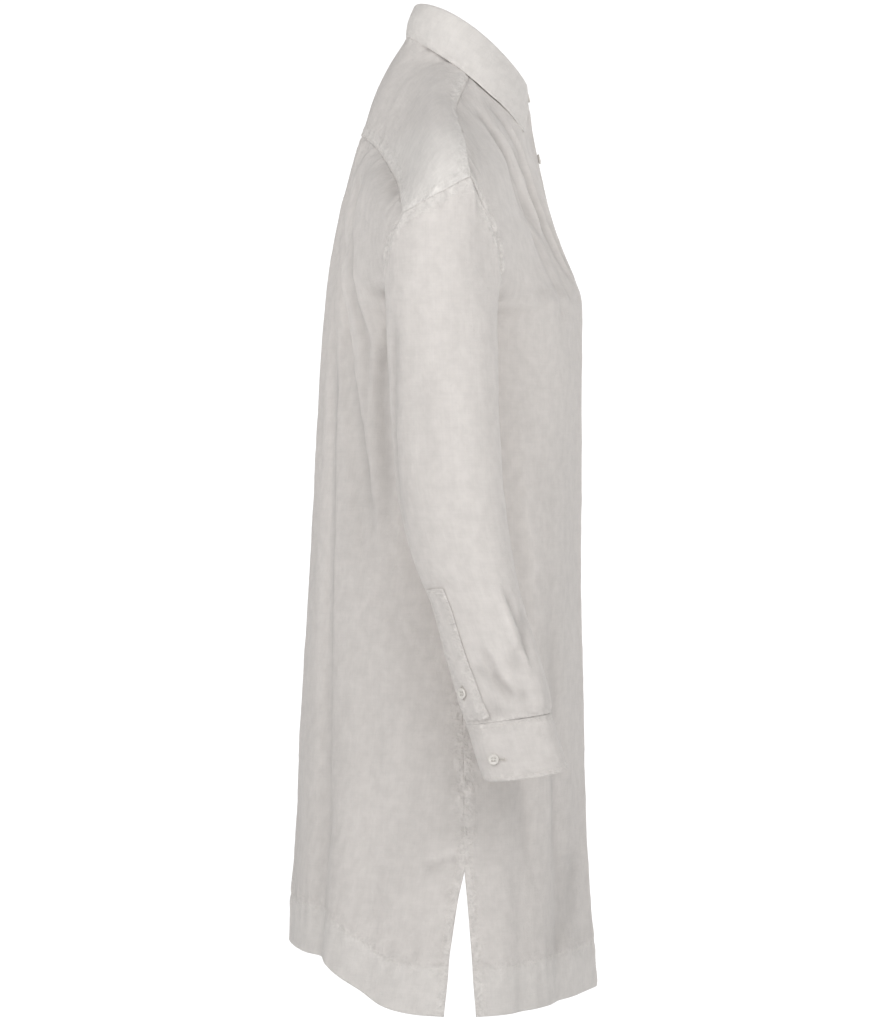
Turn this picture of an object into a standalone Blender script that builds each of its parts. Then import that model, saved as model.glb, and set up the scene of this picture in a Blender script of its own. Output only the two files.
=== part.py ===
"""A woman's long linen shirt, buttoned up and filled out as if worn, with nothing inside it.

Metres, +Z up. The wearer faces -Y, and the wearer's right is -X. The origin is at the base of the
neck, level with the shoulders, where the shirt hangs from its wearer.
Every piece of cloth is a wall: its outer face is a grid of points on a smooth surface, and its
inner face lies one thickness inside. Neighbouring pieces share their seam's points and normals,
and each stops half a seam gap short of it.
"""

import math

import bpy
import numpy as np

# Driving dimensions
CLOTH = 0.0011  # one layer of linen, as a wall
TURNED = 0.0022  # the turned-up hem: the cloth doubled
BAND = 0.0017  # front bands, collar and cuffs: two layers with interlining
SEAM_GAP = 0.00034  # between two pieces that are sewn together
LAP = 0.0023  # how far an under layer lies below the layer that buttons over it
HEM_DEPTH = 0.047
HEM_HEIGHT = -0.950  # the hem below the origin, at the front and sides
BACK_RISE = 0.047  # the hem is this much higher at the centre back
BAND_HALF = 0.015  # half the width of the front bands
BAND_ROUND = 0.0006  # how far a band's middle stands before its edges
VENT_TOP = -0.808
NECK_CENTRE, NECK_WIDE, NECK_DEEP = -0.0280, 0.0635, 0.0630
NECK_LEVEL, NECK_SLOPE, NECK_ARCH = 0.0005, 0.0410, 0.0025  # mean height, rise to the back, arch
STAND_CENTRE, STAND_WIDE, STAND_DEEP = -0.0287, 0.0585, 0.0552  # the same for the stand's top edge
STAND_LEVEL, STAND_SLOPE, STAND_ARCH = 0.0275, 0.0410, 0.0115
STAND_GAP = 0.0006  # from the neck seam up to the stand
STAND_BELLY = 0.0012  # how far the stand curves out halfway up
STAND_TAPER = 0.02  # how much narrower the stand's under end is than its upper one
CORNER_ANGLE = 93.0  # round the neck from the centre back, where the front yoke seam starts
CORNER_SHARE = 0.36  # the same corner, as a share of a panel's columns
CUFF_HEIGHT = 0.055
CUFF_CORNER = 0.012  # radius of the cuff's rounded corners
CUFF_SINK = 0.0024  # how much deeper the cuff's band lies after a full turn
PLACKET_GAP = 0.0008  # between a sleeve and the placket that lies on it
BUTTON_WIDE, BUTTON_THICK = 0.0105, 0.0022
BUTTON_SIDES = 14
BUTTON_LIFT = 0.0005  # the thread holds a button just off the cloth
FRONT_BUTTONS = 8
BUTTON_STEP = 0.088  # from one front button to the next
FIRST_BUTTON = -0.089  # the height of the top one, below the collar's own
COLLAR_BUTTON = 0.58  # how far up the stand the collar's button is, as a share
SEAT = np.array((-1, 0, 1))  # a small patch round a button: before it, at it, after it
SEAT_DOWN, SEAT_TURN, SEAT_SHARE = 0.003, 5.0, 0.05  # its step: metres, degrees, share of a cuff

LINEN = (0.665, 0.638, 0.608)
LINEN_DOUBLE = (0.69, 0.665, 0.635)
SHELL = (0.70, 0.68, 0.65)

# Seams and edges of the right-hand half, mirrored for the other half.
# The back yoke seam: share of the half width, x, y, z
BACK_SEAM = (
    (0.00, 0.000, 0.0850, -0.0650),
    (0.18, 0.050, 0.0795, -0.0725),
    (0.36, 0.098, 0.0655, -0.0910),
    (0.55, 0.147, 0.0545, -0.1120),
    (0.757, 0.205, 0.0435, -0.1390),
    (0.885, 0.243, 0.0405, -0.1570),
    (1.00, 0.270, 0.0375, -0.1710),
)
# The top of the shoulder, halfway between the back and front yoke seams
SHOULDER = (
    (0.00, 0.000, 0.0655, -0.0080),
    (0.18, 0.044, 0.0580, -0.0100),
    (0.36, 0.080, 0.0300, -0.0120),
    (0.47, 0.108, 0.0180, -0.0210),
    (0.616, 0.156, 0.0150, -0.0450),
    (0.757, 0.204, 0.0120, -0.0700),
    (0.885, 0.250, 0.0090, -0.1040),
    (0.95, 0.271, 0.0070, -0.1290),
    (1.00, 0.284, 0.0060, -0.1545),
)
# The front yoke seam beyond the neck: share of the seam, x, y, z
FRONT_SEAM = (
    (0.17, 0.100, -0.0224, -0.0247),
    (0.40, 0.150, -0.0125, -0.0567),
    (0.62, 0.200, -0.0177, -0.0830),
    (0.82, 0.246, -0.0225, -0.1100),
    (1.00, 0.275, -0.0260, -0.1370),
)
# The centre lines, as seen from the side: height, distance before or behind the origin
FRONT_LINE = (
    (-0.040, 0.0940),
    (-0.080, 0.1018),
    (-0.110, 0.1080),
    (-0.142, 0.1155),
    (-0.173, 0.1225),
    (-0.205, 0.1355),
    (-0.236, 0.1430),
    (-0.300, 0.1435),
    (-0.500, 0.1425),
    (-0.700, 0.1500),
    (-0.850, 0.1590),
    (-0.950, 0.1685),
)
BACK_LINE = (
    (-0.065, 0.0850),
    (-0.095, 0.0955),
    (-0.142, 0.1080),
    (-0.205, 0.1187),
    (-0.278, 0.1260),
    (-0.446, 0.1355),
    (-0.614, 0.1460),
    (-0.782, 0.1540),
    (-0.905, 0.1607),
)
# Sections from the centre line out to the armhole. The side's depth is its distance before
# (front) or behind (back) the origin; turns are in degrees from straight out to the side.
# centre height, side x, side depth, side height, centre turn, side turn, centre arm, side arm
FRONT_ARMHOLE = (
    (-0.080, 0.2640, 0.0370, -0.1600, 20, 42, 0.36, 0.12),
    (-0.115, 0.2500, 0.0480, -0.1840, 15, 30, 0.36, 0.13),
    (-0.150, 0.2360, 0.0555, -0.2080, 10, 24, 0.38, 0.16),
    (-0.185, 0.2210, 0.0545, -0.2310, 6, 28, 0.40, 0.20),
    (-0.217, 0.2040, 0.0410, -0.2510, 3, 50, 0.43, 0.28),
    (-0.240, 0.1885, 0.0040, -0.2640, 0, 88, 0.45, 0.42),
)
BACK_ARMHOLE = (
    (-0.095, 0.2620, 0.0460, -0.1860, 2, 30, 0.30, 0.12),
    (-0.135, 0.2480, 0.0535, -0.2050, 1, 26, 0.33, 0.14),
    (-0.175, 0.2300, 0.0560, -0.2260, 0, 26, 0.37, 0.18),
    (-0.212, 0.2080, 0.0440, -0.2480, 0, 48, 0.42, 0.28),
    (-0.243, 0.1885, -0.0040, -0.2640, 0, 88, 0.47, 0.42),
)
# The side seam below the armhole: height, x, y, centre height at the front
SIDE_SEAM = (
    (-0.2670, 0.1800, -0.0050, -0.257),
    (-0.2840, 0.1737, -0.0068, -0.281),
    (-0.3180, 0.1725, -0.0080, -0.318),
    (-0.3600, 0.1750, -0.0100, -0.360),
    (-0.4200, 0.1810, -0.0120, -0.420),
    (-0.5000, 0.1905, -0.0150, -0.500),
    (-0.5800, 0.2000, -0.0180, -0.580),
    (-0.6600, 0.2085, -0.0200, -0.660),
    (-0.7400, 0.2160, -0.0210, -0.740),
    (VENT_TOP, 0.2215, -0.0210, VENT_TOP),
)
# The open vent: height, x, y of the front edge, y of the back edge
VENT = (
    (-0.8350, 0.2240, -0.0236, -0.0150),
    (-0.8700, 0.2265, -0.0265, -0.0094),
    (HEM_HEIGHT + HEM_DEPTH + 0.001, 0.2300, -0.0290, -0.0052),
    (HEM_HEIGHT + HEM_DEPTH - 0.001, 0.2302, -0.0291, -0.0051),
    (HEM_HEIGHT, 0.2345, -0.0325, -0.0005),
)
# The sleeve's rings: distance down the arm, centre x, y, z, half width, half depth, how square
# (2 is an ellipse), tilt in degrees
SLEEVE_RINGS = (
    (0.1000, 0.2453, 0.0005, -0.3050, 0.0492, 0.0530, 2.0, 0.0),
    (0.1700, 0.2483, -0.0020, -0.3740, 0.0492, 0.0520, 2.3, 1.0),
    (0.2450, 0.2520, -0.0080, -0.4490, 0.0480, 0.0508, 2.5, 2.0),
    (0.3040, 0.2555, -0.0205, -0.5080, 0.0455, 0.0470, 2.5, 4.0),
    (0.3420, 0.2585, -0.0325, -0.5460, 0.0430, 0.0432, 2.6, 5.0),
    (0.3900, 0.2625, -0.0465, -0.5940, 0.0420, 0.0440, 2.8, 6.0),
    (0.4310, 0.2660, -0.0585, -0.6350, 0.0405, 0.0430, 3.0, 7.0),
    (0.4520, 0.2675, -0.0630, -0.6566, 0.0350, 0.0415, 3.2, 8.0),
)
BACK_CORNER, FRONT_CORNER, UNDERARM = -44.0, 36.0, 180.0  # round the sleeve from its outer side
CUFF_TOP = (0.2675, -0.0632, -0.6570)
CUFF_FOOT = (0.2705, -0.0796, -0.7085)
CUFF_WIDE, CUFF_DEEP, CUFF_SQUARE, CUFF_TILT = 0.0345, 0.0415, 3.3, 8.0
CUFF_LEAN = 0.0035  # how much lower the outer side hangs
CUFF_END = -80.0  # where the outer end lies, round the cuff from its outer side
CUFF_OVERLAP = 36.0
# The sleeve placket: distance down the arm, angle of its back edge, angle of its front edge
SLEEVE_PLACKET = (
    (0.3260, -66.0, -35.0),
    (0.4000, -64.0, -32.0),
    (0.4480, -62.0, -28.0),
)
PLACKET_BUTTON = (0.4230, -50.0)  # distance down the arm, angle
CUFF_BUTTON = (0.62, -38.0)  # share of the cuff's height, angle

# Folds, in metres across from the centre line and down from the origin:
# across and down at the top, across and down at the foot, width, height (a trough is negative)
BACK_FOLDS = {
    -1: (
        (0.036, 0.075, 0.052, 0.55, 0.015, -0.0060),
        (0.062, 0.095, 0.150, 1.00, 0.017, -0.0085),
        (0.112, 0.100, 0.136, 0.36, 0.015, -0.0050),
        (0.122, 0.220, 0.192, 0.52, 0.016, -0.0050),
        (0.200, 0.620, 0.225, 1.00, 0.020, -0.0050),
    ),
    1: (
        (0.034, 0.075, 0.046, 0.62, 0.015, -0.0065),
        (0.068, 0.095, 0.132, 1.00, 0.017, -0.0080),
        (0.104, 0.110, 0.126, 0.40, 0.015, -0.0050),
        (0.130, 0.240, 0.180, 0.56, 0.016, -0.0045),
        (0.205, 0.640, 0.215, 1.00, 0.020, -0.0050),
    ),
}
FRONT_FOLDS = {
    -1: (
        (0.000, 0.070, 0.000, 1.080, 0.018, -0.0036),
        (0.029, 0.070, 0.031, 1.080, 0.017, 0.0034),
        (0.080, 0.120, 0.075, 0.250, 0.012, -0.0040),
        (0.130, 0.130, 0.105, 0.270, 0.014, -0.0045),
        (0.115, 0.640, 0.130, 1.00, 0.022, -0.0050),
        (0.205, 0.660, 0.215, 1.00, 0.020, -0.0045),
    ),
    1: (
        (0.000, 0.070, 0.000, 1.080, 0.018, -0.0036),
        (0.030, 0.070, 0.028, 1.080, 0.017, 0.0034),
        (0.076, 0.125, 0.082, 0.240, 0.012, -0.0040),
        (0.138, 0.130, 0.112, 0.280, 0.013, -0.0045),
        (0.100, 0.600, 0.120, 1.00, 0.024, -0.0050),
        (0.190, 0.680, 0.210, 1.00, 0.020, -0.0045),
    ),
}
# Creases of a sleeve: angle and distance down the arm at each end, width, height
SLEEVE_CREASES = {
    -1: (
        (70, 0.350, 20, 0.410, 0.008, -0.0030),
        (-30, 0.400, 30, 0.440, 0.007, -0.0028),
        (120, 0.300, 190, 0.345, 0.009, -0.0040),
        (250, 0.330, 200, 0.380, 0.009, -0.0035),
    ),
    1: (
        (75, 0.340, 15, 0.395, 0.008, -0.0030),
        (-20, 0.405, 40, 0.435, 0.007, -0.0028),
        (125, 0.310, 185, 0.350, 0.009, -0.0040),
        (240, 0.320, 205, 0.385, 0.009, -0.0035),
    ),
}
# The level lines of the body below the armholes: height, turn and arm at the centre front, turn
# and arm at the side
FRONT_SHAPE = (
    (-0.95, 16, 0.36, 80, 0.25),
    (-0.80, 11, 0.40, 84, 0.30),
    (-0.60, 4, 0.45, 88, 0.36),
    (-0.40, 0, 0.49, 90, 0.40),
    (-0.26, 0, 0.49, 90, 0.40),
)
# How far down a level line is between the centre and the side: share along it, share of the drop
HEM_DROP = (
    (0.00, 0.00),
    (0.40, -0.06),
    (0.50, -0.02),
    (0.60, 0.23),
    (0.70, 0.49),
    (0.80, 0.80),
    (0.90, 0.95),
    (1.00, 1.00),
)
# The collar's outer edge: share from the centre back to the point, x, y, z
COLLAR_EDGE = (
    (0.00, 0.000, 0.0400, 0.0385),
    (0.16, 0.030, 0.0345, 0.0345),
    (0.32, 0.0560, 0.0172, 0.0210),
    (0.47, 0.0760, -0.0065, 0.0033),
    (0.58, 0.0880, -0.0232, -0.0098),
    (0.74, 0.0878, -0.0486, -0.0312),
    (0.87, 0.0753, -0.0678, -0.0468),
    (1.00, 0.0500, -0.0852, -0.0655),
)
COLLAR_FRONT_ANGLE = 177.0  # how near the centre front the collar's ends start
# The collar's roll over the stand, from the stand's top edge: outwards, up
ROLL_INNER = (-0.0004, 0.0022)
ROLL_CROWN = (0.0020, 0.0058)
ROLL_OUTER = (0.0046, 0.0010)
COLLAR_BELLY = 0.002  # how far the collar's leaf curves out between its roll and its edge
# A button's section: share of its radius, share of its thickness
BUTTON_SECTION = (
    (0.86, 0.00),
    (1.00, 0.45),
    (0.94, 1.00),
    (0.72, 1.00),
    (0.58, 0.72),
)
# How far down the arm a sleeve's rows of points are, and how far round a cuff's columns are
SLEEVE_ROWS = (0, 0.008, 0.025, 0.055, 0.1, 0.15, 0.2, 0.25, 0.3, 0.342, 0.385, 0.42, 0.44, 0.452)
CUFF_START = (0, 2.5, 6, 11, 18, 30, 42)
CUFF_MIDDLE = (58, 16, 19)  # from here, to this far before the end, in so many columns
CUFF_CLOSE = 7  # the last column but one, before the end
YOKE_ROWS = (0.0, 0.17, 0.34, 0.5, 0.67, 0.84, 1.0)
NECK_STEPS, FRONT_STEPS, SEAM_STEPS = 5, 4, 8  # columns along the neck and the front yoke seam
PATTERN_HALF = 0.300  # half a body panel's width, for placing its folds
SLEEVE_ROUND = 0.048  # a sleeve's mean radius, for placing its creases


def curve(table, at):
    """The table's rows at the given values of its first column, on a smooth line through them."""
    rows = np.array(table, float)
    at = np.atleast_1d(np.array(at, float))
    keys, values = rows[:, 0], rows[:, 1:]
    slopes = np.gradient(values, keys, axis=0)
    left = np.clip(np.searchsorted(keys, at, side="right") - 1, 0, len(keys) - 2)
    span = (keys[left + 1] - keys[left])[:, None]
    t = (at[:, None] - keys[left][:, None]) / span
    start, end = values[left], values[left + 1]
    return (
        (2 * t**3 - 3 * t**2 + 1) * start
        + (t**3 - 2 * t**2 + t) * span * slopes[left]
        + (3 * t**2 - 2 * t**3) * end
        + (t**3 - t**2) * span * slopes[left + 1]
    )


def depth_at(line, height):
    """The distance before or behind the origin of a centre line, at a height."""
    return curve([(-z, d) for z, d in line], -height)[0, 0]


def unit(vectors):
    return vectors / np.maximum(np.linalg.norm(vectors, axis=-1, keepdims=True), 1e-12)


def neck_point(degrees):
    """A point on the neck seam, by its angle from the centre back."""
    a = math.radians(degrees)
    return np.array(
        (
            NECK_WIDE * math.sin(a),
            NECK_CENTRE + NECK_DEEP * math.cos(a),
            NECK_LEVEL + NECK_SLOPE * math.cos(a) + NECK_ARCH * math.sin(a) ** 2,
        )
    )


def lap_at(degrees):
    """How far the left half sinks under the right one, by the angle round the neck."""
    share = np.clip((degrees - 130.0) / 45.0, 0.0, 1.0)
    return LAP * share * share * (3 - 2 * share)


# Columns of a half panel: those along the neck, then those along the front yoke seam
NECK_ANGLES = [CORNER_ANGLE * k / NECK_STEPS for k in range(NECK_STEPS + 1)]
NECK_SHARES = [CORNER_SHARE * k / NECK_STEPS for k in range(NECK_STEPS + 1)]
SEAM_SHARES = [k / SEAM_STEPS for k in range(1, SEAM_STEPS + 1)]
OUTER_SHARES = [CORNER_SHARE + (1 - CORNER_SHARE) * s for s in SEAM_SHARES]
HALF_SHARES = NECK_SHARES + OUTER_SHARES
BAND_ANGLE = 180.0 - math.degrees(math.asin(BAND_HALF / NECK_WIDE))
FRONT_NECK_ANGLES = [
    BAND_ANGLE + (CORNER_ANGLE - BAND_ANGLE) * k / FRONT_STEPS for k in range(FRONT_STEPS + 1)
]
FRONT_SHARES = [CORNER_SHARE * k / FRONT_STEPS for k in range(FRONT_STEPS + 1)] + OUTER_SHARES


def front_seam_points(shares):
    corner = neck_point(CORNER_ANGLE)
    table = ((0.0, *corner),) + FRONT_SEAM
    return curve(table, shares)


def section(depth, row, shares, sink=0.0, band=0.0):
    """A level line of a half panel from its centre line to its side, as x, distance out, height.

    It is a Bezier curve, and starts where its x reaches the front band's edge.
    """
    centre_z, side_x, side_depth, side_z, centre_turn, side_turn, centre_arm, side_arm = row
    start = np.array((0.0, depth - sink))
    end = np.array((side_x, side_depth))
    length = np.linalg.norm(end - start)
    a, b = math.radians(centre_turn), math.radians(side_turn)
    first = start + centre_arm * length * np.array((math.cos(a), -math.sin(a)))
    second = end - side_arm * length * np.array((math.cos(b), -math.sin(b)))

    def at(t):
        t = t[:, None]
        return (
            (1 - t) ** 3 * start
            + 3 * (1 - t) ** 2 * t * first
            + 3 * (1 - t) * t**2 * second
            + t**3 * end
        )

    fine = np.linspace(0, 1, 400)
    begin = np.interp(band, at(fine)[:, 0], fine)
    t = begin + (1 - begin) * np.array(shares)
    flat = at(t)
    share = curve(HEM_DROP, t)[:, 0] if side_z < -0.3 else t**1.5
    height = centre_z + (side_z - centre_z) * share
    return np.column_stack((flat, height))


def front_rows():
    """Each section of a front below its top edge: the section's numbers."""
    rows = [list(r) for r in FRONT_ARMHOLE]
    edges = [(z, x, y, centre_z) for z, x, y, centre_z in SIDE_SEAM]
    edges += [(z, x, y, z) for z, x, y, _ in VENT]
    for z, x, y, centre_z in edges:
        turn, arm, side_turn, side_arm = curve(FRONT_SHAPE, z)[0]
        rows.append([centre_z, x, -y, z, turn, side_turn, arm, side_arm])
    return rows


def back_rows():
    rows = [list(r) for r in BACK_ARMHOLE]
    for z, x, y, _ in SIDE_SEAM:
        rows.append([back_centre(z), x, y, z, 0, 90, 0.50, 0.42])
    for z, x, _, back_y in VENT:
        rows.append([back_centre(z), x, back_y, z, 0, 90, 0.50, 0.42])
    return rows


def back_centre(side_height):
    """The height at the centre back of the level line that reaches this height at the side."""
    early = 0.008 * max(0.0, (side_height + 0.36) / 0.10)
    late = BACK_RISE * min(1.0, max(0.0, (-0.36 - side_height) / 0.59)) ** 1.7
    return side_height + early + late


def lofted(sections, between):
    """Rows through the sections, with extra rows in the gaps that `between` names."""
    keys = [0.0]
    for above, below in zip(sections, sections[1:]):
        keys.append(keys[-1] + np.linalg.norm(above - below, axis=1).mean())
    at = [
        keys[k] + (keys[k + 1] - keys[k]) * j / (between.get(k, 0) + 1)
        for k in range(len(keys) - 1)
        for j in range(between.get(k, 0) + 1)
    ] + [keys[-1]]
    table = [(key, *s.ravel()) for key, s in zip(keys, sections)]
    return curve(table, at).reshape(len(at), -1, 3)


def normals_of(grid, round_it=False):
    """Unit normals of a grid of points, by its rows and columns."""
    if round_it:
        across = np.roll(grid, -1, axis=1) - np.roll(grid, 1, axis=1)
    else:
        across = np.gradient(grid, axis=1)
    down = np.gradient(grid, axis=0)
    return unit(np.cross(across, down))


def folded(grid, normals, across, down, folds):
    """The grid with each fold raised or sunk along the normals; both ends of a fold fade out."""
    height = np.zeros(across.shape)
    for a0, d0, a1, d1, width, rise in folds:
        axis = np.array((a1 - a0, d1 - d0))
        t = ((across - a0) * axis[0] + (down - d0) * axis[1]) / (axis @ axis)
        t = np.clip(t, 0, 1)
        away = np.hypot(across - a0 - t * axis[0], down - d0 - t * axis[1])
        fade = np.clip(t / 0.12, 0, 1) * np.clip((1 - t) / 0.12, 0, 1)
        height += rise * fade * np.exp(-((away / width) ** 2))
    return grid + normals * height[..., None]


def mirrored(grid):
    return grid * np.array((-1.0, 1.0, 1.0))


def back_grid():
    """The back, from the left side to the right one, below the yoke seam."""
    shares = HALF_SHARES
    halves = []
    for side in (1, -1):
        top = curve(BACK_SEAM, shares)
        rows = [section(depth_at(BACK_LINE, r[0]), r, shares) for r in back_rows()]
        grid = lofted([top] + rows, {0: 1})
        across = np.tile(np.array(shares) * PATTERN_HALF, (len(grid), 1))
        folds = BACK_FOLDS[side]
        grid[1:] = folded(grid, normals_of(grid), across, -grid[..., 2], folds)[1:]
        halves.append(grid if side == 1 else mirrored(grid))
    left, right = halves
    return np.concatenate((left[:, :0:-1], right), axis=1)


def front_grid(side):
    """A front panel, from the band's edge to the side; -1 is the right one, which laps over."""
    sink = LAP if side == 1 else 0.0
    neck = np.array([neck_point(a) for a in FRONT_NECK_ANGLES])
    if side == 1:
        neck[:, 1] += lap_at(np.array(FRONT_NECK_ANGLES))
    top = np.concatenate((neck, front_seam_points(SEAM_SHARES)))
    rows = []
    for r in front_rows():
        flat = section(depth_at(FRONT_LINE, r[0]), r, FRONT_SHARES, sink, BAND_HALF)
        rows.append(flat * np.array((1.0, -1.0, 1.0)))
    grid = lofted([top] + rows, {0: 1})
    across = np.tile(np.array(FRONT_SHARES) * PATTERN_HALF, (len(grid), 1))
    folds = FRONT_FOLDS[side]
    grid[1:] = folded(grid, -normals_of(grid), across, -grid[..., 2], folds)[1:]
    return grid if side == 1 else mirrored(grid)


def yoke_grid():
    """The yoke, from its left end to its right one; rows run from the back seam to the front."""
    shares = HALF_SHARES
    near = np.array([neck_point(a) for a in NECK_ANGLES])
    front = np.concatenate((near, front_seam_points(SEAM_SHARES)))
    back = curve(BACK_SEAM, shares)
    top = curve(SHOULDER, shares)
    rows = []
    for t in YOKE_ROWS:
        rows.append(
            2 * (t - 0.5) * (t - 1) * back - 4 * t * (t - 1) * top + 2 * t * (t - 0.5) * front
        )
    half = np.array(rows)
    return np.concatenate((half[:, :0:-1], mirrored(half)), axis=1)


def ring_point(ring, degrees):
    """A point on a ring round the arm, by its angle from the outer side towards the front."""
    x, y, z, wide, deep, square, tilt = ring
    a, tilt = math.radians(degrees), math.radians(tilt)
    out, ahead = math.cos(a), math.sin(a)
    radius = (abs(out / wide) ** square + abs(ahead / deep) ** square) ** (-1 / square)
    forward = np.array((0.0, -math.cos(tilt), math.sin(tilt)))
    return np.array((x + radius * out, y, z)) + radius * ahead * forward


def armhole_angles(loop, corners):
    """The angle of each point of the armhole on the rings below, by its distance along it."""
    marks = (BACK_CORNER, FRONT_CORNER, UNDERARM, 360.0 + BACK_CORNER)
    angles = []
    for part in range(3):
        points = loop[corners[part] : corners[part + 1] + 1]
        run = np.concatenate(([0], np.cumsum(np.linalg.norm(np.diff(points, axis=0), axis=1))))
        angles += list(marks[part] + (marks[part + 1] - marks[part]) * run[:-1] / run[-1])
    return np.array(angles)


def sleeve_surface(loop, angles, downs):
    """The sleeve's points at the distances down the arm; the first is the armhole itself."""
    rings = np.array(SLEEVE_RINGS)
    first = np.array([ring_point(rings[0, 1:], a) for a in angles])
    second = np.array([ring_point(rings[1, 1:], a) for a in angles])
    reach = np.linalg.norm(first - loop, axis=1, keepdims=True)
    inner = np.clip((0.1 - np.cos(np.radians(angles))) / 1.0, 0, 1)[:, None]
    start = unit((1 - inner) * np.array((0.0, 0.0, -1.0)) + inner * np.array((1.0, 0.0, -0.15)))
    finish = unit(second - first)
    rows = []
    for down in downs:
        if down >= rings[0, 0]:
            ring = curve(SLEEVE_RINGS, down)[0]
            rows.append(np.array([ring_point(ring, a) for a in angles]))
            continue
        t = down / rings[0, 0]
        rows.append(
            (2 * t**3 - 3 * t**2 + 1) * loop
            + (t**3 - 2 * t**2 + t) * reach * start
            + (3 * t**2 - 2 * t**3) * first
            + (t**3 - t**2) * reach * finish
        )
    return np.array(rows)


def sleeve_grid(side, yoke, front, back):
    """A sleeve, from the armhole that the three panels leave to the cuff."""
    armhole_rows = len(FRONT_ARMHOLE) + 2
    back_edge = back[: len(BACK_ARMHOLE) + 2, 0 if side == 1 else -1]
    yoke_edge = yoke[:, 0 if side == 1 else -1]
    front_edge = front[:armhole_rows, -1]
    loop = np.concatenate((yoke_edge[:-1], front_edge[:-1], back_edge[:0:-1]))
    corners = [0, len(yoke_edge) - 1, len(yoke_edge) + len(front_edge) - 2, len(loop)]
    plain = loop if side == 1 else mirrored(loop)
    closed = np.concatenate((plain, plain[:1]))
    angles = armhole_angles(closed, corners)
    grid = sleeve_surface(plain, angles, SLEEVE_ROWS)
    normals = normals_of(grid, True)
    down = np.array(SLEEVE_ROWS)[:, None] + np.zeros((1, len(angles)))
    grid[4:-1] = creased(side, grid, normals, angles, down)[4:-1]
    return grid if side == 1 else mirrored(grid)


def creased(side, grid, normals, angles, down):
    across = np.radians(angles) * SLEEVE_ROUND + np.zeros(down.shape)
    creases = [
        (math.radians(a) * SLEEVE_ROUND, d, math.radians(b) * SLEEVE_ROUND, e, w, h)
        for a, d, b, e, w, h in SLEEVE_CREASES[side]
    ]
    return folded(grid, normals, across, down, creases)


def sleeve_placket_patch(side, downs, angles):
    """The left sleeve's points at these places, moved out to the placket's outer face."""
    rings = curve(SLEEVE_RINGS, downs)
    grid = np.array([[ring_point(r, a) for a in row] for r, row in zip(rings, angles)])
    normals = normals_of(grid)
    down = np.array(downs)[:, None] + np.zeros((1, grid.shape[1]))
    return creased(side, grid, normals, angles, down) + normals * (PLACKET_GAP + BAND)


def sleeve_placket_grid(side):
    """A tower placket: a strip that lies on the sleeve along its slit, down to the cuff."""
    downs = np.linspace(SLEEVE_PLACKET[0][0], SLEEVE_PLACKET[-1][0], 8)
    edges = curve(SLEEVE_PLACKET, downs)
    angles = edges[:, :1] + (edges[:, 1:] - edges[:, :1]) * np.linspace(0, 1, 4)
    grid = sleeve_placket_patch(side, downs, angles)
    return grid if side == 1 else mirrored(grid)


def seat_on(patch, side):
    """Where a button lies on a small patch of the left arm, and the way that it faces."""
    normals = normals_of(patch)
    flip = np.array((side, 1, 1))
    return (patch[1, 1] + normals[1, 1] * BUTTON_LIFT) * flip, normals[1, 1] * flip


def cuff_point(share, step):
    """A point of the left cuff, by its share of the height and its angle from the outer end.

    The band sinks as it goes round, so that its inner end lies under its outer one.
    """
    top, foot = np.array(CUFF_TOP), np.array(CUFF_FOOT)
    sink = CUFF_SINK * step / 360.0
    ring = (*(top + (foot - top) * share), CUFF_WIDE - sink, CUFF_DEEP - sink, CUFF_SQUARE, CUFF_TILT)
    lean = CUFF_LEAN * share * math.cos(math.radians(CUFF_END + step))
    return ring_point(ring, CUFF_END + step) - np.array((0.0, 0.0, lean))


def cuff_grid(side):
    """A cuff: a band that starts at its outer end and ends underneath it, corners rounded."""
    turn = 360.0 + CUFF_OVERLAP
    first, last, count = CUFF_MIDDLE
    steps = [*CUFF_START, *np.linspace(first, turn - last, count), turn - CUFF_CLOSE, turn]
    columns = []
    for step in steps:
        run = math.radians(min(step, turn - step)) * CUFF_DEEP
        inside = max(0.0, CUFF_CORNER - run)
        lift = CUFF_CORNER - math.sqrt(CUFF_CORNER**2 - inside**2)
        length = 1.0 - lift / CUFF_HEIGHT
        columns.append([cuff_point(share * length, step) for share in (0.0, 0.5, 1.0)])
    grid = np.array(columns).transpose(1, 0, 2)
    return grid if side == 1 else mirrored(grid)


def stand_grid():
    """The collar stand: a band round the neck, its right end lapped over its left one."""
    near = NECK_ANGLES + FRONT_NECK_ANGLES[-2::-1] + [180.0]
    near.append(360.0 - BAND_ANGLE)
    columns = []
    for side in (1, -1):
        half = []
        for angle in near:
            low = neck_point(angle) + np.array((0.0, 0.0, STAND_GAP))
            high = fold_point(angle)
            outward = unit(np.array((low[0], low[1] - NECK_CENTRE, 0.0)))
            column = np.array((low, 0.5 * (low + high) + STAND_BELLY * outward, high))
            if side == 1:
                column[:, 1] += lap_at(angle)
                past = min(1.0, max(0.0, (angle - 100.0) / 60.0))
                column[:, 0] *= 1.0 - STAND_TAPER * past
            else:
                column[:, 0] *= -1.0
            half.append(column)
        columns.append(half)
    left, right = columns
    return np.array(left[:0:-1] + right).transpose(1, 0, 2)


def fold_point(degrees):
    """A point on the top edge of the collar stand, by its angle from the centre back."""
    a = math.radians(degrees)
    return np.array(
        (
            STAND_WIDE * math.sin(a),
            STAND_CENTRE + STAND_DEEP * math.cos(a),
            STAND_LEVEL + STAND_SLOPE * math.cos(a) + STAND_ARCH * math.sin(a) ** 2,
        )
    )


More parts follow.
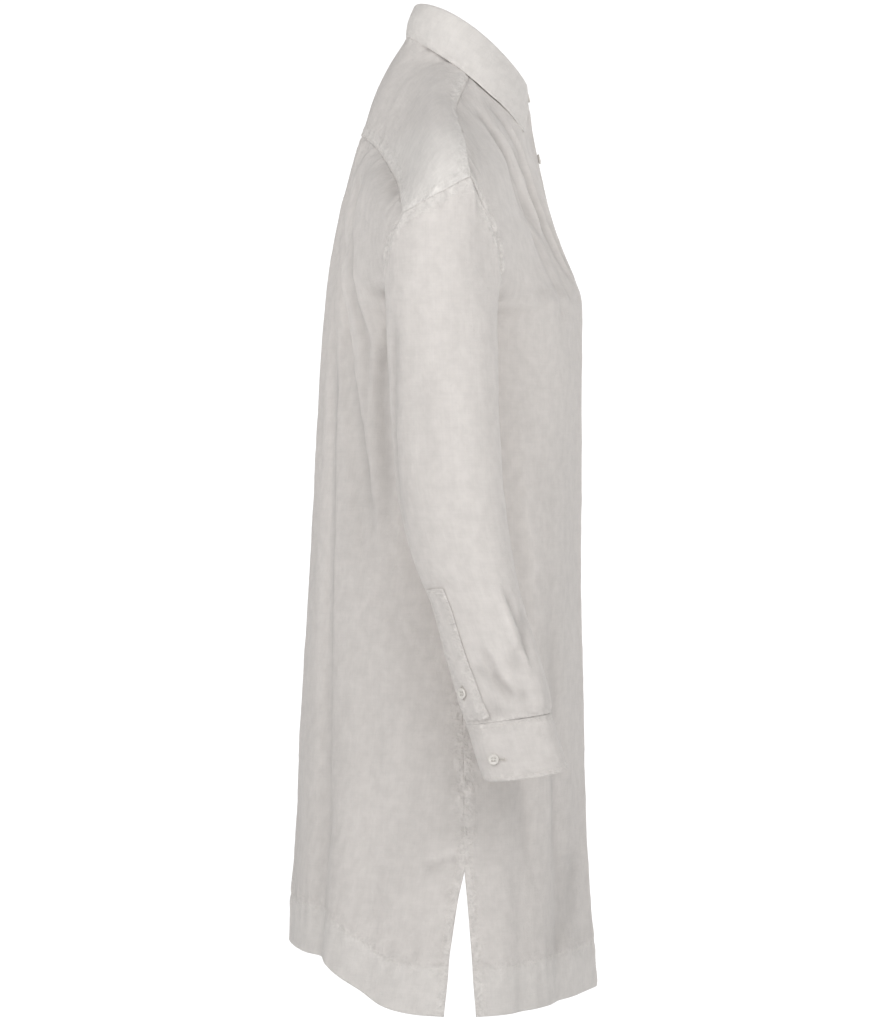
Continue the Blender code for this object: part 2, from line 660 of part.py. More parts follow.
def fall_grid():
    """The collar itself, rolled over the top of the stand and lying down outside it."""
    angles = NECK_ANGLES + FRONT_NECK_ANGLES[-2::-1] + [COLLAR_FRONT_ANGLE]
    shares = np.array(angles) / COLLAR_FRONT_ANGLE
    edge = curve(COLLAR_EDGE, shares)
    tops = np.array([fold_point(a) for a in angles])
    outward = unit((tops - (0.0, NECK_CENTRE, 0.0)) * (1, 1, 0))
    up = np.array((0.0, 0.0, 1.0))
    inner, crown, shoulder = (
        tops + outward * out + up * rise for out, rise in (ROLL_INNER, ROLL_CROWN, ROLL_OUTER)
    )
    rows = [
        (1 - t) ** 2 * inner + 2 * t * (1 - t) * crown + t * t * shoulder for t in (0.0, 0.5, 1.0)
    ]
    for t in (0.3, 0.6, 1.0):
        belly = COLLAR_BELLY * math.sin(math.pi * t)
        rows.append(shoulder + (edge - shoulder) * t + outward * belly)
    half = np.array(rows)
    return np.concatenate((half[:, :0:-1], mirrored(half)), axis=1)


def band_grid(front, side):
    """A front band as wide as its two edges, level with the panel that it is sewn to."""
    edge = front[:, 0]
    plain = edge if side == 1 else mirrored(edge)
    centre = plain.copy()
    centre[:, 0] = 0.0
    centre[1:, 1] -= BAND_ROUND
    centre[0] = neck_point(180.0) + np.array((0, LAP if side == 1 else 0, 0))
    rows = []
    for share in (-1.0, 0.0, 1.0):
        point = centre + (plain - centre) * share * share
        point[:, 0] = plain[:, 0] * share
        rows.append(point)
    grid = np.array(rows).transpose(1, 0, 2)
    return grid if side == 1 else mirrored(grid)


def shared_normals(pieces):
    """Makes the normals of pieces that meet at a seam the same there."""
    sums = {}
    for grid, normals in pieces:
        for point, normal in zip(grid.reshape(-1, 3), normals.reshape(-1, 3)):
            key = tuple(np.round(point, 6))
            sums[key] = sums.get(key, np.zeros(3)) + normal
    for grid, normals in pieces:
        flat = normals.reshape(-1, 3)
        for i, point in enumerate(grid.reshape(-1, 3)):
            flat[i] = unit(sums[tuple(np.round(point, 6))])


def drawn_in(grid, round_it=False):
    """The grid with its free edges moved inwards by half a seam gap."""
    grid = grid.copy()
    pairs = [((0, slice(None)), (1, slice(None))), ((-1, slice(None)), (-2, slice(None)))]
    if not round_it:
        pairs += [((slice(None), 0), (slice(None), 1)), ((slice(None), -1), (slice(None), -2))]
    for edge, inside in pairs:
        grid[edge] += unit(grid[inside] - grid[edge]) * SEAM_GAP / 2
    return grid


def wall(name, grid, normals, thickness, material, round_it=False):
    """A closed solid between the grid and the same grid moved in by its thickness.

    Each square is halved along the same diagonal on both faces, so that they stay parallel.
    """
    rows, cols = grid.shape[:2]
    inner = grid - normals * np.broadcast_to(thickness, (rows, cols))[..., None]
    points = np.concatenate((grid.reshape(-1, 3), inner.reshape(-1, 3)))
    under = rows * cols
    last = cols if round_it else cols - 1

    def index(r, c):
        return r * cols + c % cols

    faces = []
    for r in range(rows - 1):
        for c in range(last):
            i, j, k, m = index(r, c), index(r, c + 1), index(r + 1, c + 1), index(r + 1, c)
            first = np.linalg.norm(points[i] - points[k])
            second = np.linalg.norm(points[j] - points[m])
            halves = [[i, j, k], [i, k, m]] if first <= second else [[i, j, m], [j, k, m]]
            for half in halves:
                faces.append(half)
                faces.append([under + v for v in reversed(half)])
    for c in range(last):
        for r in (0, rows - 1):
            a, b = index(r, c), index(r, c + 1)
            faces.append([b, a, under + a, under + b] if r == 0 else [a, b, under + b, under + a])
    if not round_it:
        for r in range(rows - 1):
            for c in (0, cols - 1):
                a, b = index(r, c), index(r + 1, c)
                faces.append(
                    [a, b, under + b, under + a] if c == 0 else [b, a, under + a, under + b]
                )
    mesh = bpy.data.meshes.new(name)
    mesh.from_pydata(points.tolist(), [], faces)
    half = points[faces[0]]
    facing = np.cross(half[1] - half[0], half[2] - half[0]) @ normals[0, 0]
    if facing < 0:
        mesh.flip_normals()
    return placed(name, mesh, material)


def placed(name, mesh, material):
    mesh.shade_smooth()
    mesh.set_sharp_from_angle(angle=math.radians(50))
    mesh.materials.append(material)
    obj = bpy.data.objects.new(name, mesh)
    bpy.context.scene.collection.objects.link(obj)
    return obj


def finish(name, colour, roughness):
    material = bpy.data.materials.new(name)
    material.use_nodes = True
    shader = material.node_tree.nodes["Principled BSDF"]
    shader.inputs["Base Color"].default_value = (*colour, 1.0)
    shader.inputs["Roughness"].default_value = roughness
    return material


def button(name, centre, outward, material):
    """A round button: a turned disc with a raised rim, lying on the cloth."""
    outward = unit(np.array(outward, float))
    side = unit(np.cross(outward, (0.0, 0.0, 1.0)))
    up = np.cross(side, outward)
    points, faces = [], []
    for wide, high in BUTTON_SECTION:
        radial, height = wide * BUTTON_WIDE / 2, high * BUTTON_THICK
        for k in range(BUTTON_SIDES):
            a = 2 * math.pi * k / BUTTON_SIDES
            points.append(
                centre + outward * height + radial * (math.cos(a) * side + math.sin(a) * up)
            )
    rings = len(BUTTON_SECTION)
    for ring in range(rings - 1):
        for k in range(BUTTON_SIDES):
            a, b = ring * BUTTON_SIDES + k, ring * BUTTON_SIDES + (k + 1) % BUTTON_SIDES
            faces.append([a, b, b + BUTTON_SIDES, a + BUTTON_SIDES])
    faces.append(list(range(BUTTON_SIDES))[::-1])
    faces.append(list(range((rings - 1) * BUTTON_SIDES, rings * BUTTON_SIDES)))
    mesh = bpy.data.meshes.new(name)
    mesh.from_pydata([tuple(p) for p in points], [], faces)
    volume = sum(
        np.dot(points[f[0]] - centre, np.cross(points[f[i]] - centre, points[f[i + 1]] - centre))
        for f in faces
        for i in range(1, len(f) - 1)
    )
    if volume < 0:
        mesh.flip_normals()
    return placed(name, mesh, material)


def turned_out(grid, middle):
    """The grid's normals, pointing away from the middle."""
    normals = normals_of(grid)
    return normals if np.sum((grid - middle) * normals) > 0 else -normals


def hem_thickness(grid):
    """The wall's thickness by row: doubled in the last two, the turned-up hem."""
    thickness = np.full((len(grid), 1), CLOTH)
    thickness[-2:] = TURNED
    return thickness


for old in list(bpy.data.objects):
    bpy.data.objects.remove(old)

linen = finish("linen", LINEN, 0.9)
double_linen = finish("linen_double", LINEN_DOUBLE, 0.9)
shell = finish("button_shell", SHELL, 0.35)

yoke = yoke_grid()
back = back_grid()
fronts = {side: front_grid(side) for side in (-1, 1)}
bands = {side: band_grid(fronts[side], side) for side in (-1, 1)}
sleeves = {side: sleeve_grid(side, yoke, fronts[side], back) for side in (-1, 1)}

# Pieces that are sewn together face the same way at their seams
trunk = np.array((0.0, 0.0, -0.4))
neck = np.array((0.0, NECK_CENTRE, -0.05))
yoke_normals = turned_out(yoke, trunk)
back_normals = turned_out(back, trunk)
front_normals = {side: turned_out(fronts[side], trunk) for side in (-1, 1)}
band_normals = {side: turned_out(bands[side], trunk) for side in (-1, 1)}
sleeve_normals = {side: side * normals_of(sleeves[side], True) for side in (-1, 1)}
joined = [(yoke, yoke_normals), (back, back_normals)]
for side in (-1, 1):
    joined.append((fronts[side], front_normals[side]))
    joined.append((bands[side], band_normals[side]))
    joined.append((sleeves[side], sleeve_normals[side]))
shared_normals(joined)

wall("yoke", drawn_in(yoke), yoke_normals, CLOTH, linen)
wall("back", drawn_in(back), back_normals, hem_thickness(back), linen)
stand = stand_grid()
wall("collar_stand", stand, turned_out(stand, neck), BAND, double_linen)
fall = fall_grid()
wall("collar_fall", fall, turned_out(fall, neck), BAND, double_linen)

for side, word in ((-1, "right"), (1, "left")):
    front, sleeve, band = fronts[side], sleeves[side], bands[side]
    wall(f"front_{word}", drawn_in(front), front_normals[side], hem_thickness(front), linen)
    wall(f"sleeve_{word}", drawn_in(sleeve, True), sleeve_normals[side], CLOTH, linen, True)
    name = "placket_right" if side == -1 else "button_band_left"
    wall(name, drawn_in(band), band_normals[side], BAND, double_linen)

    wrist = 0.5 * (np.array(CUFF_TOP) + np.array(CUFF_FOOT)) * (side, 1, 1)
    cuff = cuff_grid(side)
    wall(f"cuff_{word}", cuff, turned_out(cuff, wrist), BAND, double_linen)
    flap = sleeve_placket_grid(side)
    wall(f"sleeve_placket_{word}", flap, turned_out(flap, wrist), BAND, double_linen)

    down, angle = PLACKET_BUTTON
    downs = down + SEAT_DOWN * SEAT
    patch = sleeve_placket_patch(side, downs, [angle + SEAT_TURN * SEAT] * 3)
    button(f"sleeve_button_{word}", *seat_on(patch, side), shell)
    share, angle = CUFF_BUTTON
    steps = angle - CUFF_END + SEAT_TURN * SEAT
    shares = share + SEAT_SHARE * SEAT
    patch = np.array([[cuff_point(s, step) for step in steps] for s in shares])
    button(f"cuff_button_{word}", *seat_on(patch, side), shell)

line = bands[-1][:, 1]
for count in range(FRONT_BUTTONS):
    height = FIRST_BUTTON - count * BUTTON_STEP
    below = np.searchsorted(-line[:, 2], -height)
    slope = unit(line[below] - line[below - 1])
    depth = np.interp(-height, -line[:, 2], line[:, 1])
    outward = np.array((0.0, slope[2], -slope[1]))
    centre = np.array((0.0, depth, height)) + outward * BUTTON_LIFT
    button(f"front_button_{count + 1}", centre, outward, shell)

low, high = neck_point(180.0), fold_point(180.0)
along = unit(high - low)
outward = np.array((0.0, -along[2], along[1]))
centre = low + (high - low) * COLLAR_BUTTON + outward * (STAND_BELLY + BUTTON_LIFT)
button("collar_button", centre, outward, shell)
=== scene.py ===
"""A woman's long linen shirt, buttoned up and filled out as if worn, with nothing inside it.

Metres, +Z up. The wearer faces -Y, and the wearer's right is -X. The origin is at the base of the
neck. Each piece of cloth is laid over the solid that it stands for, with the creases, seams and
stitches that the solid leaves out.
"""

import math

import bmesh
import bpy
import numpy as np
from mathutils import Matrix, Vector


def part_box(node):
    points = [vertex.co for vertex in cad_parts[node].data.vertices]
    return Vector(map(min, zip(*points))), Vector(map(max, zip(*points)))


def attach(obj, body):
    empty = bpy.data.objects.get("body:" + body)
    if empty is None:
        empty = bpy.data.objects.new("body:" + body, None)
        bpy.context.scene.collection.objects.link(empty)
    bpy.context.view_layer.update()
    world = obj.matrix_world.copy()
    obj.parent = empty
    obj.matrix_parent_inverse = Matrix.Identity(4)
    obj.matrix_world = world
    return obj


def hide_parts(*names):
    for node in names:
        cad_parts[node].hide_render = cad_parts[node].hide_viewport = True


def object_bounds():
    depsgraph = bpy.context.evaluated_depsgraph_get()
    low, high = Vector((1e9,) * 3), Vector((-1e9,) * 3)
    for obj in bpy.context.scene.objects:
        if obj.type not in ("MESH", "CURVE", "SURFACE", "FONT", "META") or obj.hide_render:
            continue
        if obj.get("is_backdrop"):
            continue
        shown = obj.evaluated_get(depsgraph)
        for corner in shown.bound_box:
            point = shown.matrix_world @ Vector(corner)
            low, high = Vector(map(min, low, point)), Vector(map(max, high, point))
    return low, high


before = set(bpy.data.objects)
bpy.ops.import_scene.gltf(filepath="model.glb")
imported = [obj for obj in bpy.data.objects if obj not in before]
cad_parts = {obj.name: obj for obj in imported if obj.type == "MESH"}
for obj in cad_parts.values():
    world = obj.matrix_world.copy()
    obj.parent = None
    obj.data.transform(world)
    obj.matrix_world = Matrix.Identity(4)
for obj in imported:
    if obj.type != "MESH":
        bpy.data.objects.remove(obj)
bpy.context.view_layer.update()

# The camera: level with the middle of the shirt, square to the wearer's right side, and far
# enough away that near and far parts keep nearly the same scale.
def in_scene(name, data):
    """A new object in the scene."""
    made = bpy.data.objects.new(name, data)
    bpy.context.scene.collection.objects.link(made)
    return made


camera = in_scene("camera", bpy.data.cameras.new("camera"))
camera.data.lens = 107.16
camera.location = (-3.2, 0.0, -0.459)
camera.rotation_euler = (math.radians(90), 0.0, math.radians(-90))
bpy.context.scene.camera = camera


# The yoke: one piece of linen, doubled, over both shoulders from the collar to the armholes.
# It is felled and topstitched to the back and to both fronts, and the whole shirt hangs from it.
CLOTH = 0.0007  # how far a turned edge lies behind the cloth's face
NECK_CENTRE, NECK_WIDE = -0.0280, 0.0635
# The neck seam: half width, centre, half depth, height, how much higher behind and at the sides
NECK_SEAM = (NECK_WIDE, NECK_CENTRE, 0.0630, 0.0005, 0.0410, 0.0025)
CORNER_ANGLE, CORNER_SHARE = 93.0, 0.36  # where the front yoke seam starts at the neck
YOKE_ROWS = 44
ALL_ROUND = ("top", "foot", "left", "right")

# The back yoke seam: share of the half width, x, y, z
BACK_SEAM = (
    (0.0, 0.0, 0.085, -0.065),
    (0.18, 0.05, 0.0795, -0.0725),
    (0.36, 0.098, 0.0655, -0.091),
    (0.55, 0.147, 0.0545, -0.112),
    (0.757, 0.205, 0.0435, -0.139),
    (0.885, 0.243, 0.0405, -0.157),
    (1.0, 0.27, 0.0375, -0.171),
)
# The top of the shoulder, between the two yoke seams: share, x, y, z
SHOULDER = (
    (0.0, 0.0, 0.0655, -0.008),
    (0.18, 0.044, 0.058, -0.01),
    (0.36, 0.08, 0.03, -0.012),
    (0.47, 0.108, 0.018, -0.021),
    (0.616, 0.156, 0.015, -0.045),
    (0.757, 0.204, 0.012, -0.07),
    (0.885, 0.25, 0.009, -0.104),
    (0.95, 0.271, 0.007, -0.129),
    (1.0, 0.284, 0.006, -0.1545),
)
# The front yoke seam beyond the neck: share of the seam, x, y, z
FRONT_SEAM = (
    (0.17, 0.1, -0.0224, -0.0247),
    (0.4, 0.15, -0.0125, -0.0567),
    (0.62, 0.2, -0.0177, -0.083),
    (0.82, 0.246, -0.0225, -0.11),
    (1.0, 0.275, -0.026, -0.137),
)


def unit(vectors):
    return vectors / np.maximum(np.linalg.norm(vectors, axis=-1, keepdims=True), 1e-12)


def ease(low, high, value):
    """0 before low, 1 after high, and smooth between them."""
    t = np.clip((np.asarray(value, float) - low) / (high - low), 0, 1)
    return t * t * (3 - 2 * t)


def hermite(t, start, end, first, last):
    """A smooth line from start to end that leaves along first and arrives along last."""
    head = (2 * t**3 - 3 * t**2 + 1) * start + (t**3 - 2 * t**2 + t) * first
    return head + (3 * t**2 - 2 * t**3) * end + (t**3 - t**2) * last


def arched(t, start, middle, end):
    """A line through three points, at 0, 0.5 and 1."""
    return 2 * (t - 0.5) * (t - 1) * start - 4 * t * (t - 1) * middle + 2 * t * (t - 0.5) * end


def curve(table, at):
    """The table's rows at the given values of its first column, on a smooth line through them."""
    rows = np.array(table, float)
    at = np.atleast_1d(np.array(at, float))
    keys, values = rows[:, 0], rows[:, 1:]
    slopes = np.gradient(values, keys, axis=0)
    left = np.clip(np.searchsorted(keys, at, side="right") - 1, 0, len(keys) - 2)
    span = (keys[left + 1] - keys[left])[:, None]
    t = (at[:, None] - keys[left][:, None]) / span
    return hermite(t, values[left], values[left + 1], span * slopes[left], span * slopes[left + 1])


def spread(count, low=0.0, high=0.0):
    """Steps from 0 to 1 that are closer together at either end."""
    middle = (np.arange(count) + 0.5) / count
    size = 1 - low * np.exp(-middle / 0.07) - high * np.exp(-(1 - middle) / 0.07)
    return np.concatenate(([0], np.cumsum(size))) / size.sum()


def neck_point(degrees, line=NECK_SEAM):
    """A point on a line round the neck, by its angle from the centre back."""
    wide, centre, deep, height, behind, beside = line
    a = math.radians(degrees)
    rise = height + behind * math.cos(a) + beside * math.sin(a) ** 2
    return np.array((wide * math.sin(a), centre + deep * math.cos(a), rise))


NECK_COLUMNS = spread(44, 0, 0.3) * CORNER_SHARE
SEAM_COLUMNS = spread(76, 0.3, 0.6)[1:]
OUTER_COLUMNS = CORNER_SHARE + (1 - CORNER_SHARE) * SEAM_COLUMNS
HALF_COLUMNS = np.concatenate((NECK_COLUMNS, OUTER_COLUMNS))


def front_seam(shares):
    return curve(((0.0, *neck_point(CORNER_ANGLE)),) + FRONT_SEAM, shares)


def on_side(side, grid):
    """Points of the wearer's left (1) as they are, or mirrored to the right (-1)."""
    return grid * np.array((side, 1.0, 1.0))


def normals_of(grid, loop=False, middle=(0.0, 0.0, -0.4)):
    """Unit normals of a grid of points, facing away from the middle."""
    if loop:
        across = np.roll(grid, -1, axis=1) - np.roll(grid, 1, axis=1)
    else:
        across = np.gradient(grid, axis=1)
    normals = unit(np.cross(across, np.gradient(grid, axis=0)))
    return normals if np.sum((grid - np.array(middle)) * normals) > 0 else -normals


def run_along(grid, axis):
    """How far each point of a grid is from its first row or column, along the cloth."""
    steps = np.linalg.norm(np.diff(grid, axis=axis), axis=2)
    zero = np.zeros_like(np.take(steps, [0], axis=axis))
    return np.cumsum(np.concatenate((zero, steps), axis=axis), axis=axis)


def noise(u, v, seed):
    """Smooth random hills between -1 and 1, one to a unit of u and v."""
    table = np.random.default_rng(seed).uniform(-1, 1, (64, 64))
    i, j = np.floor(u).astype(int), np.floor(v).astype(int)
    a, b = u - i, v - j
    a, b = a * a * (3 - 2 * a), b * b * (3 - 2 * b)
    near = table[i % 64, j % 64] * (1 - a) + table[(i + 1) % 64, j % 64] * a
    far = table[i % 64, (j + 1) % 64] * (1 - a) + table[(i + 1) % 64, (j + 1) % 64] * a
    return near * (1 - b) + far * b


def cut_of(grid, upright=False):
    """Where each point of the cloth lies on its flat cut piece, across and down, in metres.

    On an upright piece the weft runs level, at any fold.
    """
    across, down = run_along(grid, 1), -grid[..., 2] if upright else run_along(grid, 0)
    middle = across.shape[1] // 2
    return np.stack((across - across[:, middle : middle + 1], down), axis=-1)


def edge_runs(grid, edge):
    """The distance from an edge and the distance along it, for each point of the grid."""
    axis = 0 if edge in ("top", "foot") else 1
    away = run_along(grid, axis)
    if edge in ("foot", "right"):
        away = np.take(away, [-1], axis=axis) - away
    line = {"top": 0, "foot": -1, "left": 0, "right": -1}[edge]
    along = run_along(grid, 1 - axis)
    along = along[line][None, :] if axis == 0 else along[:, line][:, None]
    return away, along + np.zeros(away.shape)


def puckered(grid, normals, edges, seed):
    """Cloth drawn up by its stitches: small uneven ripples beside each line of them.

    edges: the edge, how far from it the stitches lie, how high the ripples are, how far the piece
    laps over its neighbour, and how wide the seam or hem between edge and stitches ropes.
    """
    lift = np.zeros(grid.shape[:2])
    for number, (edge, distance, height, lap, roped) in enumerate(edges):
        run, along = edge_runs(grid, edge)
        away = np.abs(run - distance)
        row = np.zeros(along.shape)
        ripple = noise(along / 0.0095, row, seed + number)
        ripple += 0.5 * noise(along / 0.0062, row + 9.5, seed + number)
        reach = 0.006 + 0.0025 * noise(along / 0.03, row + 3.5, seed + number)
        lift += height * ripple * (away / reach) * np.exp(1 - away / reach) / 1.4
        wave = noise(along / 0.012, row + 5.5, seed + number)
        lift += 0.7 * height * wave * np.minimum(away / 0.002, 1) * np.exp(-away / 0.012)
        lift += lap * (1 - ease(0.0085, 0.0115, run))
        if roped:
            twist = noise((along + 0.7 * run) / 0.0072, row + 7.5, seed + number)
            lift += height * (0.3 + 1.3 * twist) * np.sin(np.pi * np.clip(run / roped, 0, 1))
    return grid + normals * lift[..., None]


def rumpled(grid, normals, place, height, seed, held=("top", "left", "right")):
    """The soft unevenness of linen that has been worn, fading towards the edges that are held."""
    u, v = place[..., 0], place[..., 1]
    long = noise(u / 0.055, v / 0.11, seed) + 0.5 * noise(u / 0.024, v / 0.05, seed + 1)
    sharp = 1 - 2 * np.abs(noise(u / 0.035 + v / 0.09, v / 0.06, seed + 2))
    fine = noise(u / 0.012, v / 0.015, seed + 3) + 0.5 * noise(u / 0.007, v / 0.009, seed + 4)
    lift = height * (0.55 * long + 0.25 * np.maximum(sharp, 0) ** 2 + 0.16 * fine)
    for edge in held:
        lift *= ease(0, 0.015, edge_runs(grid, edge)[0])
    return grid + normals * lift[..., None]


def creased(grid, normals, creases, axis=0, where=None):
    """Cloth sunk or raised along each crease.

    Each crease is its height, its width, how much steeper its second side is, how softly it starts
    and ends, and its line: distance from the middle (axis 0) or depth (axis 1), and height.
    """
    lift = np.zeros(grid.shape[:2])
    allowed = np.ones(lift.shape, bool) if where is None else where
    spots = grid[allowed]
    for height, width, skew, start, end, line in creases:
        path = np.array(line, float)
        fine = curve(np.column_stack((np.arange(len(path)), path)), np.linspace(0, len(path) - 1, 24))
        level = spots[:, 1] if axis else np.abs(spots[:, 0])
        near = [np.argmin(np.hypot(level - a, spots[:, 2] - z)) for a, z in fine]
        path = spots[near]
        run = np.concatenate(([0], np.cumsum(np.linalg.norm(np.diff(path, axis=0), axis=1))))
        best, share, turn = np.full(lift.shape, np.inf), np.zeros(lift.shape), np.zeros(lift.shape)
        for k in range(len(path) - 1):
            step = path[k + 1] - path[k]
            size = step @ step
            if size < 1e-10:
                continue
            t = np.clip((grid - path[k]) @ step / size, 0, 1)
            off = grid - path[k] - t[..., None] * step
            away = np.linalg.norm(off, axis=2)
            better = away < best
            best = np.where(better, away, best)
            share = np.where(better, (run[k] + t * (run[k + 1] - run[k])) / run[-1], share)
            turn = np.where(better, np.sum(np.cross(step, off) * normals, axis=2), turn)
        wide = width * np.where(turn > 0, 1 - skew, 1 + skew)
        fade = ease(0, start, share) * (1 - ease(1 - end, 1, share))
        lift += height * fade * np.exp(-((best / wide) ** 2))
    return grid + normals * lift[..., None]


def colour(code):
    """A colour from its sRGB code, as linear light."""
    parts = [int(code[i : i + 2], 16) / 255 for i in (1, 3, 5)]
    return (*[p / 12.92 if p <= 0.04045 else ((p + 0.055) / 1.055) ** 2.4 for p in parts], 1.0)


def node(tree, kind, inputs=(), **settings):
    """Adds a shader node with its settings; an input is a value or the socket that feeds it."""
    made = tree.nodes.new("ShaderNode" + kind)
    for key, value in settings.items():
        setattr(made, key, value)
    for key, value in dict(inputs).items():
        if isinstance(value, bpy.types.NodeSocket):
            tree.links.new(value, made.inputs[key])
        else:
            made.inputs[key].default_value = value
    return made


def maths(tree, operation, a, b=0.0, c=0.0):
    return node(tree, "Math", {0: a, 1: b, 2: c}, operation=operation).outputs[0]


def finish_of(name, settings):
    """A new material, with these constants on its shader's sockets."""
    made = bpy.data.materials.new(name)
    made.use_nodes = True
    for socket, value in settings.items():
        made.node_tree.nodes["Principled BSDF"].inputs[socket].default_value = value
    return made


def linen(name, face, doubled, weave=0.00055):
    """Plain-woven linen: uneven yarns both ways, pale slubs, a cloudy dye and a dry soft sheen."""
    sheen = {"Sheen Weight": 0.18, "Sheen Roughness": 0.5}
    material = finish_of(name, {"Roughness": 0.88, "Specular IOR Level": 0.25, **sheen})
    tree = material.node_tree
    shader = tree.nodes["Principled BSDF"]
    place = node(tree, "UVMap", uv_map="cloth").outputs[0]

    def streaks(wide, long, detail):
        stretch = node(tree, "Mapping", {"Vector": place, "Scale": (1 / wide, 1 / long, 1)})
        return node(
            tree,
            "TexNoise",
            {"Vector": stretch.outputs[0], "Scale": 1.0, "Detail": detail, "Roughness": 0.6},
            noise_dimensions="2D",
        ).outputs[0]

    layers = (
        (0.16, streaks(0.0013, 0.050, 2.0)),  # yarns that run down the cloth
        (0.14, streaks(0.035, 0.0013, 2.0)),  # yarns that run across it
        (0.08, streaks(0.0034, 0.030, 1.0)),  # slubs
        (0.08, streaks(0.022, 0.003, 1.0)),
        (0.54, streaks(0.011, 0.013, 3.0)),  # the uneven dye
    )
    tone = 0.0
    for share, part in layers:
        tone = maths(tree, "MULTIPLY_ADD", part, share, tone)  # about 0.5 on the whole
    shade = node(
        tree,
        "MapRange",
        {"Value": tone, "From Min": 0.38, "From Max": 0.62, "To Min": 0.955, "To Max": 1.04},
    ).outputs[0]
    # the paler colour where the cloth is doubled, and painted light on the yoke's shoulder ends
    double = node(tree, "Attribute", attribute_name="double").outputs["Fac"]
    base = node(tree, "Mix", {0: double, 6: colour(face), 7: colour(doubled)}, data_type="RGBA")
    tight = node(tree, "Attribute", attribute_name="tight").outputs["Fac"]
    pucker = maths(tree, "SUBTRACT", streaks(0.0062, 0.0055, 2.0), 0.5)
    pucker = maths(tree, "MULTIPLY", tight, pucker)
    # painted shade between the puckers beside the stitches, and painted light on their tops, where the tight
    # mark is high
    shade = maths(tree, "MULTIPLY", shade, maths(tree, "MULTIPLY_ADD", pucker, 0.55, 1.0))
    # painted shade and light: cloth sunk in creases and folds is darkened, and raised cloth is lightened
    raised = node(tree, "Attribute", attribute_name="raised").outputs["Fac"]
    shade = maths(tree, "MULTIPLY", shade, maths(tree, "MULTIPLY_ADD", raised, 0.16, 1.0))
    tinted = node(tree, "VectorMath", {0: base.outputs[2], 3: shade}, operation="SCALE").outputs[0]
    tree.links.new(tinted, shader.inputs["Base Color"])

    over = node(tree, "Mapping", {"Vector": place, "Scale": (1 / weave, 1 / weave, 1)})
    axes = node(tree, "SeparateXYZ", {0: over.outputs[0]})
    down = maths(tree, "SINE", maths(tree, "MULTIPLY", axes.outputs[0], math.pi))
    side = maths(tree, "SINE", maths(tree, "MULTIPLY", axes.outputs[1], math.pi))
    cross = maths(tree, "MULTIPLY", down, side)
    height = maths(tree, "MULTIPLY_ADD", cross, 0.12, tone)
    height = maths(tree, "MULTIPLY_ADD", streaks(0.009, 0.012, 3.0), 1.7, height)  # worn unevenness
    height = maths(tree, "MULTIPLY_ADD", pucker, 9.0, height)  # cockling beside the stitches
    bump = node(tree, "Bump", {"Height": height, "Distance": 0.0009, "Strength": 0.5})
    tree.links.new(bump.outputs[0], shader.inputs["Normal"])
    return material


# Unbleached linen in one layer, and the same cloth where two or more layers make it paler; the paler colour
# also stands for painted light on the yoke's shoulder ends
LINEN = linen("linen", "#D2CDC9", "#DAD6D2")


def cloth(name, layers, material=LINEN):
    """A mesh of quads over grids of points that share their outer ring.

    layers: for each, its points, its normals, its place on the cut cloth, and its marks.
    """
    points, faces, spots, marks = [], [], [], []
    start = 0
    for grid, normals, place, mark in layers:
        index = np.arange(grid.shape[0] * grid.shape[1]).reshape(grid.shape[:2]) + start
        corners = ((0, 0), (0, 1), (1, 1), (1, 0))
        facing = np.cross(np.gradient(grid, axis=1), np.gradient(grid, axis=0))
        if np.sum(facing * normals) < 0:
            corners = corners[::-1]
        rows, cols = grid.shape[0] - 1, grid.shape[1] - 1
        cuts = [(slice(r, rows + r), slice(c, cols + c)) for r, c in corners]
        faces.append(np.stack([index[c] for c in cuts], axis=-1).reshape(-1, 4))
        spots.append(np.stack([place[c] for c in cuts], axis=2).reshape(-1, 2))
        points.append(grid.reshape(-1, 3))
        marks.append(mark.reshape(-1, 3))
        start += index.size
    mesh = bpy.data.meshes.new(name)
    mesh.from_pydata(np.concatenate(points), [], np.concatenate(faces))
    layer = mesh.uv_layers.new(name="cloth")
    layer.data.foreach_set("uv", np.concatenate(spots).astype(np.float32).ravel())
    marks = np.concatenate(marks).T.astype(np.float32)
    for word, mark in zip(("double", "tight", "raised"), marks):
        mesh.attributes.new(word, "FLOAT", "POINT").data.foreach_set("value", mark)
    work = bmesh.new()
    work.from_mesh(mesh)
    bmesh.ops.remove_doubles(work, verts=work.verts, dist=1e-6)
    work.to_mesh(mesh)
    work.free()
    return placed(name, mesh, material)


def placed(name, mesh, material):
    """A smooth object of a mesh, which rides the one body."""
    mesh.shade_smooth()
    mesh.materials.append(material)
    piece = in_scene(name, mesh)
    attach(piece, "root")
    return piece


def from_edge(grids, edge):
    """The grids turned so that the edge is their first row."""
    grids = [a.swapaxes(0, 1) for a in grids] if edge in ("left", "right") else grids
    return [a[::-1] for a in grids] if edge in ("foot", "right") else grids


def put_back(grids, edge):
    """The grids turned back from having the edge as their first row."""
    grids = [a[::-1] for a in grids] if edge in ("foot", "right") else grids
    return [a.swapaxes(0, 1) for a in grids] if edge in ("left", "right") else grids


def at_level(grids, run, level):
    """A row of each grid, where in each column the run from the first row reaches the level."""
    cols = np.arange(run.shape[1])
    at = np.clip((run < level).sum(axis=0), 1, len(run) - 1)
    low, high = run[at - 1, cols], run[at, cols]
    share = np.clip((level - low) / np.maximum(high - low, 1e-9), 0, 1)[:, None]
    return [a[at - 1, cols] * (1 - share) + a[at, cols] * share for a in grids]


def turned(work, edge, depth, behind):
    """Adds the hem or allowance that is folded back behind an edge.

    work: points, normals, place on the cut cloth, and marks.
    """
    work = from_edge(work, edge)
    grid, normals = work[:2]
    out = unit(grid[0] - grid[2])
    rim = grid[0] - normals[0] * behind / 2 + out * behind * 0.45
    extra = [[rim, *(a[0] for a in work[1:])]]
    for level in np.linspace(0.0, depth, 5):
        row = at_level(work, run_along(grid, 0), level)
        extra.append([row[0] - row[1] * behind, *row[1:]])
    work = [np.concatenate((rows[::-1], a)) for rows, a in zip(zip(*extra), work)]
    return put_back(work, edge)


